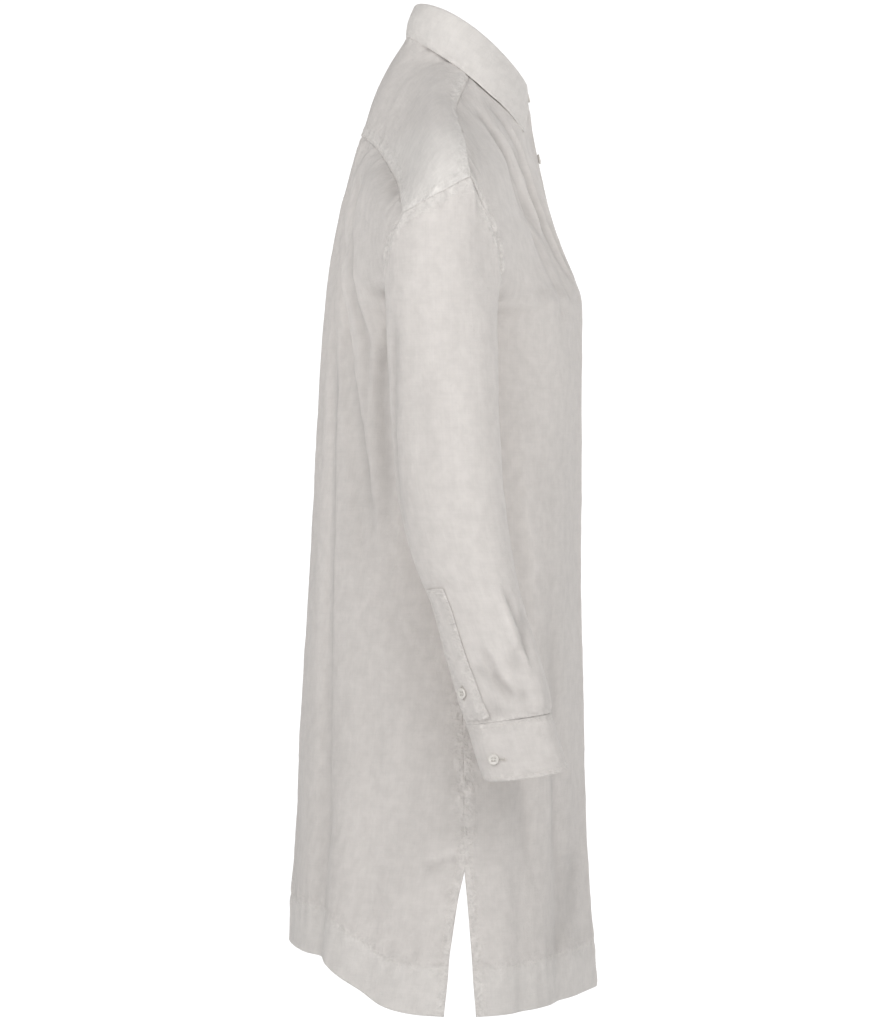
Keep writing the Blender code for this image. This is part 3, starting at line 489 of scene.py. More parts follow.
def marked(plain, grid, normals, bands):
    """Marks: how doubled the cloth is, how tight its stitches draw it, and how far it is raised.

    bands: the edge, how far from it the stitches lie, how much the doubling shows, how tight they are.
    """
    double, tight = np.zeros((2, *grid.shape[:2]))
    # how far the cloth is raised or sunk, which the linen turns into painted shade and painted light
    raised = np.clip(np.sum((grid - plain) * normals, axis=2) / 0.004, -1.0, 0.5)
    for edge, distance, share, pull in bands:
        run, _ = edge_runs(grid, edge)
        double = np.maximum(double, share * (1 - ease(distance - 0.001, distance + 0.001, run)))
        away = np.abs(run - distance) if distance > 0.012 else np.maximum(run - distance, 0)
        # how tight the stitches draw the cloth: it drives the cockling bump and the painted shade between
        # the puckers
        tight = np.maximum(tight, pull * np.exp(-away / 0.006))
    return np.stack((double, tight, raised), axis=-1)


def laid_over(node_name, piece):
    """Hides the solid that a sheet of cloth stands in for."""
    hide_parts(node_name)


def single_sheet(node_name, plain, grid, normals, place, bands, hems, flat, area, pale=0.0):
    """One layer of cloth on its plain form, with its hems and allowances turned in at the back."""
    marks = marked(plain, grid, normals, bands)
    # pale: the least paleness anywhere; on the yoke it is painted light on the shoulder ends
    marks[..., 0] = np.maximum(marks[..., 0], pale)
    work = [grid, normals, place, marks]
    for edge, depth in hems:
        work = turned(work, edge, depth, CLOTH)
    laid_over(node_name, cloth(node_name + "_cloth", [work]))


THREAD = []  # every line of topstitching, as its points and the way that it faces


def stitched(grid, normals, edges, distance, begin=0.0, end=1.0):
    """Keeps a line of topstitching at a distance from each edge, for the thread, which is made last."""
    for edge in edges:
        *rows, away = from_edge((grid, normals, edge_runs(grid, edge)[0]), edge)
        line, facing = at_level(rows, away, distance)
        first, last = int(begin * (len(line) - 1)), int(end * (len(line) - 1)) + 1
        THREAD.append((line[first:last], unit(facing[first:last])))


def half_yoke(shares):
    """The left half of the yoke, from its back seam over the shoulder to its front seam."""
    angles = CORNER_ANGLE * shares[shares <= CORNER_SHARE] / CORNER_SHARE
    near = np.array([neck_point(a) for a in angles])
    rest = (shares[shares > CORNER_SHARE] - CORNER_SHARE) / (1 - CORNER_SHARE)
    front = np.concatenate((near, front_seam(rest)))
    back, top = curve(BACK_SEAM, shares), curve(SHOULDER, shares)
    return arched(spread(YOKE_ROWS, 0.4, 0.4)[:, None, None], back, top, front)


half = half_yoke(HALF_COLUMNS)
yoke = np.concatenate((half[:, :0:-1], on_side(-1, half)), axis=1)
yoke_normals = normals_of(yoke)
yoke_place = cut_of(yoke)
yoke_cloth = rumpled(yoke, yoke_normals, yoke_place, 0.0011, 11, ALL_ROUND)
seams = (
    ("top", 0.0, 0.001, 0.0006, 0.004),
    ("foot", 0.0, 0.0012, 0.0006, 0.004),
    ("left", 0.0, 0.0013, 0.0006, 0.009),
    ("right", 0.0, 0.0013, 0.0006, 0.009),
)
yoke_cloth = puckered(yoke_cloth, yoke_normals, seams, 21)
stitched(yoke_cloth, normals_of(yoke_cloth), ("top", "foot"), 0.0016)
stitched(yoke_cloth, normals_of(yoke_cloth), ("left", "right"), 0.0075)
allowances = [(edge, 0.010) for edge in ALL_ROUND]
bands = [(*allowance, 0.5, 0.5) for allowance in allowances]
# painted light: the yoke's lower part, over the shoulders' ends, gets the paler colour of doubled cloth,
# fading out towards the neck
pale = 1 - ease(-0.105, -0.065, yoke[..., 2])
work = ("yoke", yoke, yoke_cloth, yoke_normals, yoke_place)
single_sheet(*work, bands, allowances, (0.66, 0.22), 0.10, pale)


# The back: one wide panel, a little gathered under the yoke, that hangs in long soft folds to a
# turned-up hem. Below the hips its sides are open, and the vents' edges are narrowly hemmed.
HEM_HEIGHT, HEM_DEPTH, BACK_RISE, VENT_TOP = -0.950, 0.047, 0.047, -0.808
PATTERN_HALF = 0.300  # half a body panel's width, for placing its folds
SIDE_LENGTH = 0.70  # about how long a body panel's side edge is

# The centre back, as seen from the side: height, distance behind the origin
BACK_LINE = (
    (-0.065, 0.085),
    (-0.095, 0.0955),
    (-0.142, 0.108),
    (-0.205, 0.1187),
    (-0.278, 0.126),
    (-0.446, 0.1355),
    (-0.614, 0.146),
    (-0.782, 0.154),
    (-0.905, 0.1607),
)
# Sections from the centre line out to the armhole; turns are in degrees from straight out to the
# side: centre height, side x, side depth, side height, centre turn, side turn, centre and side arm
BACK_ARMHOLE = (
    (-0.095, 0.262, 0.046, -0.186, 2, 30, 0.3, 0.12),
    (-0.135, 0.248, 0.0535, -0.205, 1, 26, 0.33, 0.14),
    (-0.175, 0.23, 0.056, -0.226, 0, 26, 0.37, 0.18),
    (-0.212, 0.208, 0.044, -0.248, 0, 48, 0.42, 0.28),
    (-0.243, 0.1885, -0.004, -0.264, 0, 88, 0.47, 0.42),
)
# The side seam below the armhole: height, x, y, centre height at the front
SIDE_SEAM = (
    (-0.267, 0.18, -0.005, -0.257),
    (-0.284, 0.1737, -0.0068, -0.281),
    (-0.318, 0.1725, -0.008, -0.318),
    (-0.36, 0.175, -0.01, -0.36),
    (-0.42, 0.181, -0.012, -0.42),
    (-0.5, 0.1905, -0.015, -0.5),
    (-0.58, 0.2, -0.018, -0.58),
    (-0.66, 0.2085, -0.02, -0.66),
    (-0.74, 0.216, -0.021, -0.74),
    (VENT_TOP, 0.2215, -0.021, VENT_TOP),
)
# The open vent: height, x, y of the front edge, y of the back edge
VENT = (
    (-0.835, 0.224, -0.0236, -0.015),
    (-0.87, 0.2265, -0.0265, -0.0094),
    (-0.902, 0.23, -0.029, -0.0052),
    (-0.904, 0.2302, -0.0291, -0.0051),
    (HEM_HEIGHT, 0.2345, -0.0325, -0.0005),
)
# How far down a level line is between the centre and the side: share along it, share of the drop
HEM_DROP = (
    (0.0, 0.0),
    (0.4, -0.06),
    (0.5, -0.02),
    (0.6, 0.23),
    (0.7, 0.49),
    (0.8, 0.8),
    (0.9, 0.95),
    (1.0, 1.0),
)
# Folds, by where they start and end on the cut cloth: across and down at the top, across and
# down at the foot, width, height (a trough is negative)
BACK_FOLDS = {
    -1: (
        (0.036, 0.075, 0.052, 0.55, 0.015, -0.006),
        (0.062, 0.095, 0.15, 1.0, 0.017, -0.0085),
        (0.112, 0.1, 0.136, 0.36, 0.015, -0.005),
        (0.122, 0.22, 0.192, 0.52, 0.016, -0.005),
        (0.2, 0.62, 0.225, 1.0, 0.02, -0.005),
    ),
    1: (
        (0.034, 0.075, 0.046, 0.62, 0.015, -0.0065),
        (0.068, 0.095, 0.132, 1.0, 0.017, -0.008),
        (0.104, 0.11, 0.126, 0.4, 0.015, -0.005),
        (0.13, 0.24, 0.18, 0.56, 0.016, -0.0045),
        (0.205, 0.64, 0.215, 1.0, 0.02, -0.005),
    ),
}
# Creases, each as its height, width, how much steeper its second side is, how softly it starts and
# ends, and its line of depth and height
BACK_CREASES = {
    -1: (
        (-0.0048, 0.009, 0.2, 0.1, 0.5, ((0.196, -0.235), (0.16, -0.3), (0.166, -0.4), (0.181, -0.52))),
        (-0.004, 0.006, 0.3, 0.1, 0.4, ((0.096, -0.107), (0.132, -0.18), (0.146, -0.26), (0.148, -0.4))),
        (0.0024, 0.007, 0.2, 0.3, 0.5, ((0.078, -0.115), (0.12, -0.22), (0.129, -0.33))),
        (-0.0045, 0.007, 0.4, 0.1, 0.5, ((0.06, -0.15), (0.095, -0.3), (0.118, -0.459), (0.163, -0.896))),
        (0.0024, 0.008, 0.2, 0.3, 0.5, ((0.045, -0.19), (0.092, -0.459), (0.139, -0.85))),
        (-0.004, 0.006, 0.3, 0.2, 0.4, ((0.108, -0.239), (0.128, -0.321), (0.148, -0.4), (0.173, -0.52))),
    ),
    1: (
        (-0.0046, 0.009, 0.2, 0.1, 0.5, ((0.192, -0.24), (0.158, -0.31), (0.163, -0.39), (0.176, -0.49))),
        (-0.0038, 0.006, 0.3, 0.1, 0.4, ((0.088, -0.11), (0.126, -0.19), (0.143, -0.27), (0.149, -0.42))),
        (0.0022, 0.007, 0.2, 0.3, 0.5, ((0.07, -0.12), (0.116, -0.24), (0.126, -0.35))),
        (-0.0042, 0.007, 0.4, 0.1, 0.5, ((0.056, -0.16), (0.09, -0.32), (0.112, -0.48), (0.156, -0.88))),
        (0.0024, 0.008, 0.2, 0.3, 0.5, ((0.046, -0.2), (0.088, -0.48), (0.132, -0.84))),
        (-0.0036, 0.006, 0.3, 0.2, 0.4, ((0.112, -0.26), (0.134, -0.35), (0.164, -0.48))),
    ),
}
# The small tucks where the side seam opens into the vent, by depth and height
VENT_TUCKS = (
    (-0.0022, 0.004, 0.3, 0.2, 0.1, ((0.02, -0.8075), (0.002, -0.803), (-0.015, -0.7985))),
    (0.0018, 0.005, 0.2, 0.3, 0.1, ((0.016, -0.799), (0.0, -0.795), (-0.015, -0.79))),
)


def section(depth, row, shares, sink=0.0, band=0.0):
    """A level line of a half panel from its centre line to its side, as x, distance out, height.

    It is a Bezier curve, and starts where its x reaches the front band's edge.
    """
    centre_z, side_x, side_depth, side_z, centre_turn, side_turn, centre_arm, side_arm = row
    start, end = np.array((0.0, depth - sink)), np.array((side_x, side_depth))
    length = np.linalg.norm(end - start)
    a, b = math.radians(centre_turn), math.radians(side_turn)
    first = start + centre_arm * length * np.array((math.cos(a), -math.sin(a)))
    second = end - side_arm * length * np.array((math.cos(b), -math.sin(b)))

    def at(t):
        s, t = 1 - t[:, None], t[:, None]
        return s**3 * start + 3 * s**2 * t * first + 3 * s * t**2 * second + t**3 * end

    fine = np.linspace(0, 1, 400)
    begin = np.interp(band, at(fine)[:, 0], fine)
    t = begin + (1 - begin) * shares
    share = curve(HEM_DROP, t)[:, 0] if side_z < -0.3 else t**1.5
    return np.column_stack((at(t), centre_z + (side_z - centre_z) * share))


def folded(grid, normals, across, down, folds, free=1.0):
    """The grid with each fold raised or sunk along the normals; both ends of a fold fade out."""
    height = np.zeros(across.shape)
    for a0, d0, a1, d1, width, rise in folds:
        axis = np.array((a1 - a0, d1 - d0))
        t = np.clip(((across - a0) * axis[0] + (down - d0) * axis[1]) / (axis @ axis), 0, 1)
        away = np.hypot(across - a0 - t * axis[0], down - d0 - t * axis[1])
        fade = np.clip(t / 0.12, 0, 1) * np.clip((1 - t) / 0.12, 0, 1)
        height += rise * fade * np.exp(-((away / width) ** 2))
    return grid + normals * (height * free)[..., None]


ARMHOLE_ROWS, SIDE_ROWS = 56, 240


def half_panel(top, rows, armhole, line, shares, folds, way=1, sink=0.0, band=0.0):
    """The left half of a body panel: level sections joined from its top line down, and folded."""
    sections = [top]
    for row in rows:
        depth = curve([(-z, d) for z, d in line], -row[0])[0, 0]
        sections.append(section(depth, row, shares, sink, band) * (1, way, 1))
    steps = [np.linalg.norm(a - b, axis=1).mean() for a, b in zip(sections, sections[1:])]
    keys = np.concatenate(([0], np.cumsum(steps)))
    at = keys[armhole] * spread(ARMHOLE_ROWS, 0.3, 0)
    rest = keys[armhole] + (keys[-1] - keys[armhole]) * spread(SIDE_ROWS, 0, 0.4)[1:]
    table = [(key, *points.ravel()) for key, points in zip(keys, sections)]
    plain = curve(table, np.concatenate((at, rest))).reshape(len(at) + len(rest), -1, 3)
    across = shares * PATTERN_HALF + np.zeros(plain.shape[:2])
    free = ease(0, 0.02, run_along(plain, 0))
    return folded(plain, normals_of(plain), across, -plain[..., 2], folds, free)


def back_centre(side_height):
    """The height at the centre back of the level line that reaches this height at the side."""
    early = 0.008 * max(0.0, (side_height + 0.36) / 0.10)
    late = BACK_RISE * min(1.0, max(0.0, (-0.36 - side_height) / 0.59)) ** 1.7
    return side_height + early + late


back_side = [(z, x, y) for z, x, y, _ in SIDE_SEAM] + [(z, x, y) for z, x, _, y in VENT]
back_rows = [*BACK_ARMHOLE, *((back_centre(z), x, y, z, 0, 90, 0.50, 0.42) for z, x, y in back_side)]
halves = []
for side in (1, -1):
    work = (curve(BACK_SEAM, HALF_COLUMNS), back_rows, len(BACK_ARMHOLE), BACK_LINE)
    halves.append(on_side(side, half_panel(*work, HALF_COLUMNS, BACK_FOLDS[side])))
back = np.concatenate((halves[0][:, :0:-1], halves[1]), axis=1)
back_normals, back_place = normals_of(back), cut_of(back, True)
back_cloth = rumpled(back, back_normals, back_place, 0.0016, 31)
across, down = np.abs(back_place[..., 0]), run_along(back, 0)
gather = noise(back_place[..., 0] / 0.011, down / 0.4, 35) * np.exp(-down / 0.055)
gather = gather * ease(0, 0.012, down) * (1 - ease(0.060, 0.090, across)) * 0.0030
back_cloth = back_cloth + back_normals * gather[..., None]
for side in (-1, 1):
    half = back[..., 0] * side > 0.02
    back_cloth = creased(back_cloth, back_normals, BACK_CREASES[side], 0, half)
    back_cloth = creased(back_cloth, back_normals, VENT_TUCKS, 1, back[..., 0] * side > 0.20)
seams = (
    ("left", 0.0, 0.0011, 0.0, 0.009),
    ("right", 0.0, 0.0011, 0.0, 0.009),
    ("top", 0.0, 0.0018, 0.0, 0),
    ("foot", HEM_DEPTH, 0.0018, 0.0, 0),
)
back_cloth = puckered(back_cloth, back_normals, seams, 41)
stitched(back_cloth, normals_of(back_cloth), ["foot"], HEM_DEPTH - 0.0015)
vent_begin = 1 - (VENT_TOP - HEM_HEIGHT) / SIDE_LENGTH
stitched(back_cloth, normals_of(back_cloth), ("left", "right"), 0.0085, vent_begin)
bands = [("foot", HEM_DEPTH, 0.6, 0.6), ("top", 0.0, 0.0, 0.6)]
bands += [(edge, 0.005, 0.2, 0.65) for edge in ("left", "right")]
hems = (("foot", HEM_DEPTH), ("left", 0.010), ("right", 0.010), ("top", 0.010))
work = ("back", back, back_cloth, back_normals, back_place)
single_sheet(*work, bands, hems, (0.68, 0.97), 0.54)


# The fronts: two panels of single linen, eased into the yoke above, that meet behind the buttoned
# bands. They have the back's turned-up hem and open vents, and crease from under the collar.
LAP = 0.0023  # how far an under layer lies below the layer that buttons over it
BAND_HALF = 0.015  # half the width of the front bands
BAND_ANGLE = 180.0 - math.degrees(math.asin(BAND_HALF / NECK_WIDE))
# The centre front, as seen from the side: height, distance ahead of the origin
FRONT_LINE = (
    (-0.04, 0.094),
    (-0.08, 0.1018),
    (-0.11, 0.108),
    (-0.142, 0.1155),
    (-0.173, 0.1225),
    (-0.205, 0.1355),
    (-0.236, 0.143),
    (-0.3, 0.1435),
    (-0.5, 0.1425),
    (-0.7, 0.15),
    (-0.85, 0.159),
    (-0.95, 0.1685),
)
# Sections down to the underarm, with the back's columns
FRONT_ARMHOLE = (
    (-0.08, 0.264, 0.037, -0.16, 20, 42, 0.36, 0.12),
    (-0.115, 0.25, 0.048, -0.184, 15, 30, 0.36, 0.13),
    (-0.15, 0.236, 0.0555, -0.208, 10, 24, 0.38, 0.16),
    (-0.185, 0.221, 0.0545, -0.231, 6, 28, 0.4, 0.2),
    (-0.217, 0.204, 0.041, -0.251, 3, 50, 0.43, 0.28),
    (-0.24, 0.1885, 0.004, -0.264, 0, 88, 0.45, 0.42),
)
# Level lines below the armholes: height, turn and arm at the centre front, turn and arm at the side
FRONT_SHAPE = (
    (-0.95, 16, 0.36, 80, 0.25),
    (-0.8, 11, 0.4, 84, 0.3),
    (-0.6, 4, 0.45, 88, 0.36),
    (-0.4, 0, 0.49, 90, 0.4),
    (-0.26, 0, 0.49, 90, 0.4),
)
# Folds and creases, with the back's columns
FRONT_FOLDS = {
    -1: (
        (0.0, 0.07, 0.0, 1.08, 0.018, -0.0036),
        (0.029, 0.07, 0.031, 1.08, 0.017, 0.0034),
        (0.08, 0.12, 0.075, 0.25, 0.012, -0.004),
        (0.13, 0.13, 0.105, 0.27, 0.014, -0.0045),
        (0.115, 0.64, 0.13, 1.0, 0.022, -0.005),
        (0.205, 0.66, 0.215, 1.0, 0.02, -0.0045),
    ),
    1: (
        (0.0, 0.07, 0.0, 1.08, 0.018, -0.0036),
        (0.03, 0.07, 0.028, 1.08, 0.017, 0.0034),
        (0.076, 0.125, 0.082, 0.24, 0.012, -0.004),
        (0.138, 0.13, 0.112, 0.28, 0.013, -0.0045),
        (0.1, 0.6, 0.12, 1.0, 0.024, -0.005),
        (0.19, 0.68, 0.21, 1.0, 0.02, -0.0045),
    ),
}
FRONT_CREASES = {
    -1: (
        (-0.0044, 0.006, 0.3, 0.1, 0.4, ((0.124, -0.048), (0.152, -0.104), (0.136, -0.137), (0.074, -0.2))),
        (0.003, 0.006, 0.2, 0.2, 0.4, ((0.124, -0.066), (0.134, -0.104), (0.108, -0.15), (0.07, -0.192))),
        (-0.0036, 0.006, 0.3, 0.2, 0.4, ((0.14, -0.065), (0.16, -0.12), (0.148, -0.15), (0.086, -0.215))),
        (-0.004, 0.006, 0.3, 0.2, 0.4, ((0.121, -0.084), (0.098, -0.103), (0.072, -0.154), (0.06, -0.2))),
        (-0.0036, 0.005, 0.3, 0.1, 0.3, ((0.097, -0.04), (0.088, -0.105), (0.07, -0.17), (0.05, -0.24))),
        (0.0028, 0.006, 0.2, 0.2, 0.4, ((0.088, -0.05), (0.078, -0.115), (0.06, -0.18), (0.045, -0.24))),
        (-0.003, 0.005, 0.3, 0.2, 0.3, ((0.08, -0.055), (0.066, -0.12), (0.05, -0.18), (0.036, -0.24))),
        (0.0018, 0.01, 0.2, 0.5, 0.5, ((0.159, -0.3), (0.164, -0.48), (0.174, -0.7))),
        (-0.0026, 0.012, 0.2, 0.5, 0.3, ((0.139, -0.42), (0.14, -0.64), (0.115, -0.9))),
        (-0.0024, 0.01, 0.2, 0.5, 0.4, ((0.19, -0.56), (0.186, -0.72), (0.17, -0.9))),
        (-0.0034, 0.022, 0.2, 0.3, 0.3, ((0.08, -0.78), (0.1, -0.85), (0.16, -0.935))),
    ),
    1: (
        (-0.0042, 0.006, 0.3, 0.1, 0.4, ((0.121, -0.052), (0.148, -0.108), (0.13, -0.144), (0.072, -0.21))),
        (0.0028, 0.006, 0.2, 0.2, 0.4, ((0.12, -0.07), (0.13, -0.11), (0.102, -0.156), (0.067, -0.2))),
        (-0.0034, 0.006, 0.3, 0.2, 0.4, ((0.143, -0.072), (0.158, -0.128), (0.142, -0.165), (0.09, -0.225))),
        (-0.0038, 0.006, 0.3, 0.2, 0.4, ((0.117, -0.088), (0.094, -0.11), (0.07, -0.16), (0.06, -0.21))),
        (-0.0034, 0.005, 0.3, 0.1, 0.3, ((0.094, -0.042), (0.082, -0.11), (0.062, -0.18), (0.048, -0.25))),
        (0.0026, 0.006, 0.2, 0.2, 0.4, ((0.085, -0.052), (0.073, -0.12), (0.054, -0.19), (0.043, -0.245))),
        (0.0018, 0.01, 0.2, 0.5, 0.5, ((0.154, -0.32), (0.16, -0.5), (0.17, -0.72))),
        (-0.0026, 0.012, 0.2, 0.5, 0.3, ((0.133, -0.44), (0.136, -0.66), (0.12, -0.9))),
        (-0.0022, 0.01, 0.2, 0.5, 0.4, ((0.186, -0.6), (0.182, -0.74), (0.172, -0.9))),
    ),
}


def lap_at(degrees):
    """How far the left half sinks under the right one, by the angle round the neck."""
    return LAP * ease(130.0, 175.0, degrees)


NECK_STEPS = 40  # columns of a front along its half of the neck
FRONT_COLUMNS = np.concatenate((spread(NECK_STEPS, 0, 0.3) * CORNER_SHARE, OUTER_COLUMNS))
front_rows = list(FRONT_ARMHOLE)
for z, x, y, centre in SIDE_SEAM + tuple((z, x, y, z) for z, x, y, _ in VENT):
    turn, arm, side_turn, side_arm = curve(FRONT_SHAPE, z)[0]
    front_rows.append((centre, x, -y, z, turn, side_turn, arm, side_arm))
SIDES = ((-1, "right"), (1, "left"))
fronts, front_edges = {}, {}
for side, word in SIDES:
    shares = FRONT_COLUMNS[: NECK_STEPS + 1] / CORNER_SHARE
    angles = BAND_ANGLE + (CORNER_ANGLE - BAND_ANGLE) * shares
    neck = np.array([neck_point(a) for a in angles])
    sink = 0.0
    if side == 1:
        neck[:, 1] += lap_at(angles)
        sink = LAP
    top = np.concatenate((neck, front_seam(SEAM_COLUMNS)))
    work = (top, front_rows, len(FRONT_ARMHOLE), FRONT_LINE, FRONT_COLUMNS, FRONT_FOLDS[side])
    front = fronts[side] = on_side(side, half_panel(*work, -1, sink, BAND_HALF))
    normals, place = normals_of(front), cut_of(front, True)
    sheet = rumpled(front, normals, place, 0.0014, 51 + side)
    sheet = creased(sheet, normals, FRONT_CREASES[side])
    seams = (
        ("right", 0.0, 0.0011, 0.0004, 0.009),
        ("top", 0.0, 0.0018, 0.0, 0),
        ("left", 0.0, 0.0004, 0.0, 0),
        ("foot", HEM_DEPTH, 0.0018, 0.0, 0),
    )
    sheet = puckered(sheet, normals, seams, 61 + side)
    stitched(sheet, normals_of(sheet), ["foot"], HEM_DEPTH - 0.0015)
    stitched(sheet, normals_of(sheet), ["right"], 0.0085, vent_begin)
    stitched(sheet, normals_of(sheet), ["right"], 0.0060, 0.0, 0.18)
    front_edges[side] = sheet[:, 0]
    bands = (("foot", HEM_DEPTH, 0.6, 0.6), ("right", 0.006, 0.2, 0.65), ("top", 0.0, 0.0, 0.6))
    hems = (("foot", HEM_DEPTH), ("right", 0.010), ("top", 0.010))
    work = ("front_" + word, front, sheet, normals, place)
    single_sheet(*work, bands, hems, (0.34, 1.0), 0.26)


# The front bands: straight strips of doubled linen, interlined, topstitched along both edges. The
# right one has the buttonholes and laps over the left one, which carries the buttons.
BAND = 0.0013  # two layers and the interlining between them


def double_sheet(node_name, name, grid, normals, place, pull=0.3, pale=0.8):
    """Two layers of cloth that meet in a rounded rim, the outer one on the grid."""
    around = ((2, 2), (2, 2), (0, 0))
    face, facing = np.pad(grid, around, "edge"), unit(np.pad(normals, around, "edge"))
    flat_place = np.pad(place, around, "edge")
    turns = [np.zeros(n) for n in face.shape[:2]]
    for turn in turns:
        turn[[1, -2]], turn[[0, -1]] = math.radians(45), math.radians(90)
    out_rows, out_cols = np.zeros(face.shape), np.zeros(face.shape)
    out_rows[:2], out_rows[-2:] = face[:2] - face[3], face[-2:] - face[-4]
    out_cols[:, :2], out_cols[:, -2:] = face[:, :2] - face[:, 3:4], face[:, -2:] - face[:, -4:-3]
    out = unit(out_rows) * np.sin(turns[0])[:, None, None]
    out = out + unit(out_cols) * np.sin(turns[1])[None, :, None]
    sunk = 1 - np.cos(np.maximum(turns[0][:, None], turns[1][None, :]))[..., None]
    marks = marked(face, face, facing, [(edge, 0.003, 0.0, pull) for edge in ALL_ROUND])
    marks[..., 0] = pale
    outer = face + BAND / 2 * (out - facing * sunk)
    inner = face + BAND / 2 * (out - facing * (2 - sunk))
    layers = [(outer, facing, flat_place, marks), (inner, -facing, flat_place, marks)]
    laid_over(node_name, cloth(name + "_cloth", layers))


for side, node_name in ((-1, "placket_right"), (1, "button_band_left")):
    edge = on_side(side, front_edges[side])
    centre = edge * (0, 1, 1) - (0, 0.0006, 0)
    centre[0] = neck_point(180.0) + (0, LAP if side == 1 else 0, 0)
    shares = spread(24, 0.5, 0.5)[None, :, None] * 2 - 1
    band = centre[:, None] + (edge - centre)[:, None] * shares**2
    band[..., 0] = edge[:, None, 0] * shares[..., 0] * side
    normals, place = normals_of(band), cut_of(band)
    band = band + normals * 0.0005
    rims = [(name, 0.002, 0.0004, 0.0, 0) for name in ("left", "right")]
    band = puckered(band, normals, rims, 71 + side)
    stitched(band, normals_of(band), ("left", "right"), 0.0020)
    double_sheet(node_name, node_name, band, normals, place)
    if side == -1:
        front_band = band


# The collar stand: a curved band of doubled linen round the neck, sewn to the yoke and the fronts,
# its right end lapped over its left one and buttoned.
# Its top edge, given as the neck seam is
STAND_TOP = (0.0585, -0.0287, 0.0552, 0.0275, 0.0410, 0.0115)


def drawn_in(run, radius):
    """How far a rounded corner draws the edge in, at a distance from the end."""
    return radius - math.sqrt(max(0, radius**2 - max(0, radius - run) ** 2))


STAND_END = 360.0 - BAND_ANGLE
STAND_CORNER, STAND_MIDDLE = 0.010, (0, NECK_CENTRE, -0.05)
halves = []
for side in (1, -1):
    columns = []
    for angle in STAND_END * spread(110, 0, 0.8):
        low, high = neck_point(angle) + (0, 0, 0.0006), neck_point(angle, STAND_TOP)
        run = math.radians(STAND_END - angle) * NECK_WIDE
        high = high + (low - high) * drawn_in(run, STAND_CORNER) / np.linalg.norm(high - low)
        mid = 0.5 * (low + high) + 0.0012 * unit(np.array((low[0], low[1] - NECK_CENTRE, 0.0)))
        column = arched(np.linspace(0, 1, 16)[:, None], low, mid, high)
        if side == 1:
            column[:, 1] += lap_at(angle)
            column[:, 0] *= 1.0 - 0.02 * np.clip((angle - 100.0) / 60.0, 0, 1)
        columns.append(on_side(side, column))
    halves.append(columns)
stand = np.array(halves[0][:0:-1] + halves[1]).transpose(1, 0, 2)
normals, place = normals_of(stand, middle=STAND_MIDDLE), cut_of(stand)
stand = puckered(stand, normals, [(name, 0.002, 0.0003, 0.0, 0) for name in ("top", "foot")], 81)
stitched(stand, normals, ALL_ROUND, 0.0018)
double_sheet("collar_stand", "collar_stand", stand, normals, place)


# The collar: doubled linen with interlining, rolled over the stand, with long points that lie
# down on the chest and a row of topstitching near its edge.
# Its outer edge: share from the centre back to the point, x, y, z
COLLAR_EDGE = (
    (0.0, 0.0, 0.04, 0.0385),
    (0.16, 0.03, 0.0345, 0.0345),
    (0.32, 0.056, 0.0172, 0.021),
    (0.47, 0.076, -0.0065, 0.0033),
    (0.58, 0.088, -0.0232, -0.0098),
    (0.74, 0.0878, -0.0486, -0.0312),
    (0.87, 0.0753, -0.0678, -0.0468),
    (1.0, 0.05, -0.0852, -0.0655),
)
COLLAR_FRONT_ANGLE = 177.0  # how near the centre front the collar's ends start
angles = COLLAR_FRONT_ANGLE * spread(110, 0, 0.5)
edge = curve(COLLAR_EDGE, angles / COLLAR_FRONT_ANGLE)
tops = np.array([neck_point(a, STAND_TOP) for a in angles])
outward = unit((tops - (0.0, NECK_CENTRE, 0.0)) * (1, 1, 0))
inner = tops - outward * 0.0004 + (0, 0, 0.0022)
crown = tops + outward * 0.0020 + (0, 0, 0.0058)
shoulder = tops + outward * 0.0046 + (0, 0, 0.0010)
t = np.linspace(0, 1, 12)[:, None, None]
roll = (1 - t) ** 2 * inner + 2 * t * (1 - t) * crown + t * t * shoulder
t = spread(34, 0, 0.6)[1:, None, None]
leaf = shoulder + (edge - shoulder) * t + outward * (0.002 * np.sin(math.pi * t) - 0.0011 * t**3)
half = np.concatenate((roll, leaf))
fall = np.concatenate((half[:, :0:-1], on_side(-1, half)), axis=1)
normals, place = normals_of(fall, middle=STAND_MIDDLE), cut_of(fall)
fall = rumpled(fall, normals, place, 0.0007, 91)
edges = ("left", "right", "foot")
fall = puckered(fall, normals, [(name, 0.005, 0.0003, 0.0, 0.005) for name in edges], 92)
stitched(fall, normals_of(fall, middle=STAND_MIDDLE), edges, 0.005)
double_sheet("collar_fall", "collar", fall, normals, place)


# The sleeves: one piece of linen each, wide at the shoulder and set in under the body's edge, with
# a seam under the arm, creases round the elbow and a little fulness let into the cuff.
# Rings: distance down the arm, centre x, y, z, half width, half depth, how square, tilt in degrees
SLEEVE_RINGS = (
    (0.1, 0.2453, 0.0005, -0.305, 0.0492, 0.053, 2.0, 0.0),
    (0.17, 0.2483, -0.002, -0.374, 0.0492, 0.052, 2.3, 1.0),
    (0.245, 0.252, -0.008, -0.449, 0.048, 0.0508, 2.5, 2.0),
    (0.304, 0.2555, -0.0205, -0.508, 0.0455, 0.047, 2.5, 4.0),
    (0.342, 0.2585, -0.0325, -0.546, 0.043, 0.0432, 2.6, 5.0),
    (0.39, 0.2625, -0.0465, -0.594, 0.042, 0.044, 2.8, 6.0),
    (0.431, 0.266, -0.0585, -0.635, 0.0405, 0.043, 3.0, 7.0),
    (0.452, 0.2675, -0.063, -0.6566, 0.035, 0.0415, 3.2, 8.0),
)
BACK_CORNER, FRONT_CORNER, UNDERARM = -44.0, 36.0, 180.0  # round the sleeve from its outer side
SLEEVE_ROUND = 0.048  # a sleeve's mean radius, for placing its creases
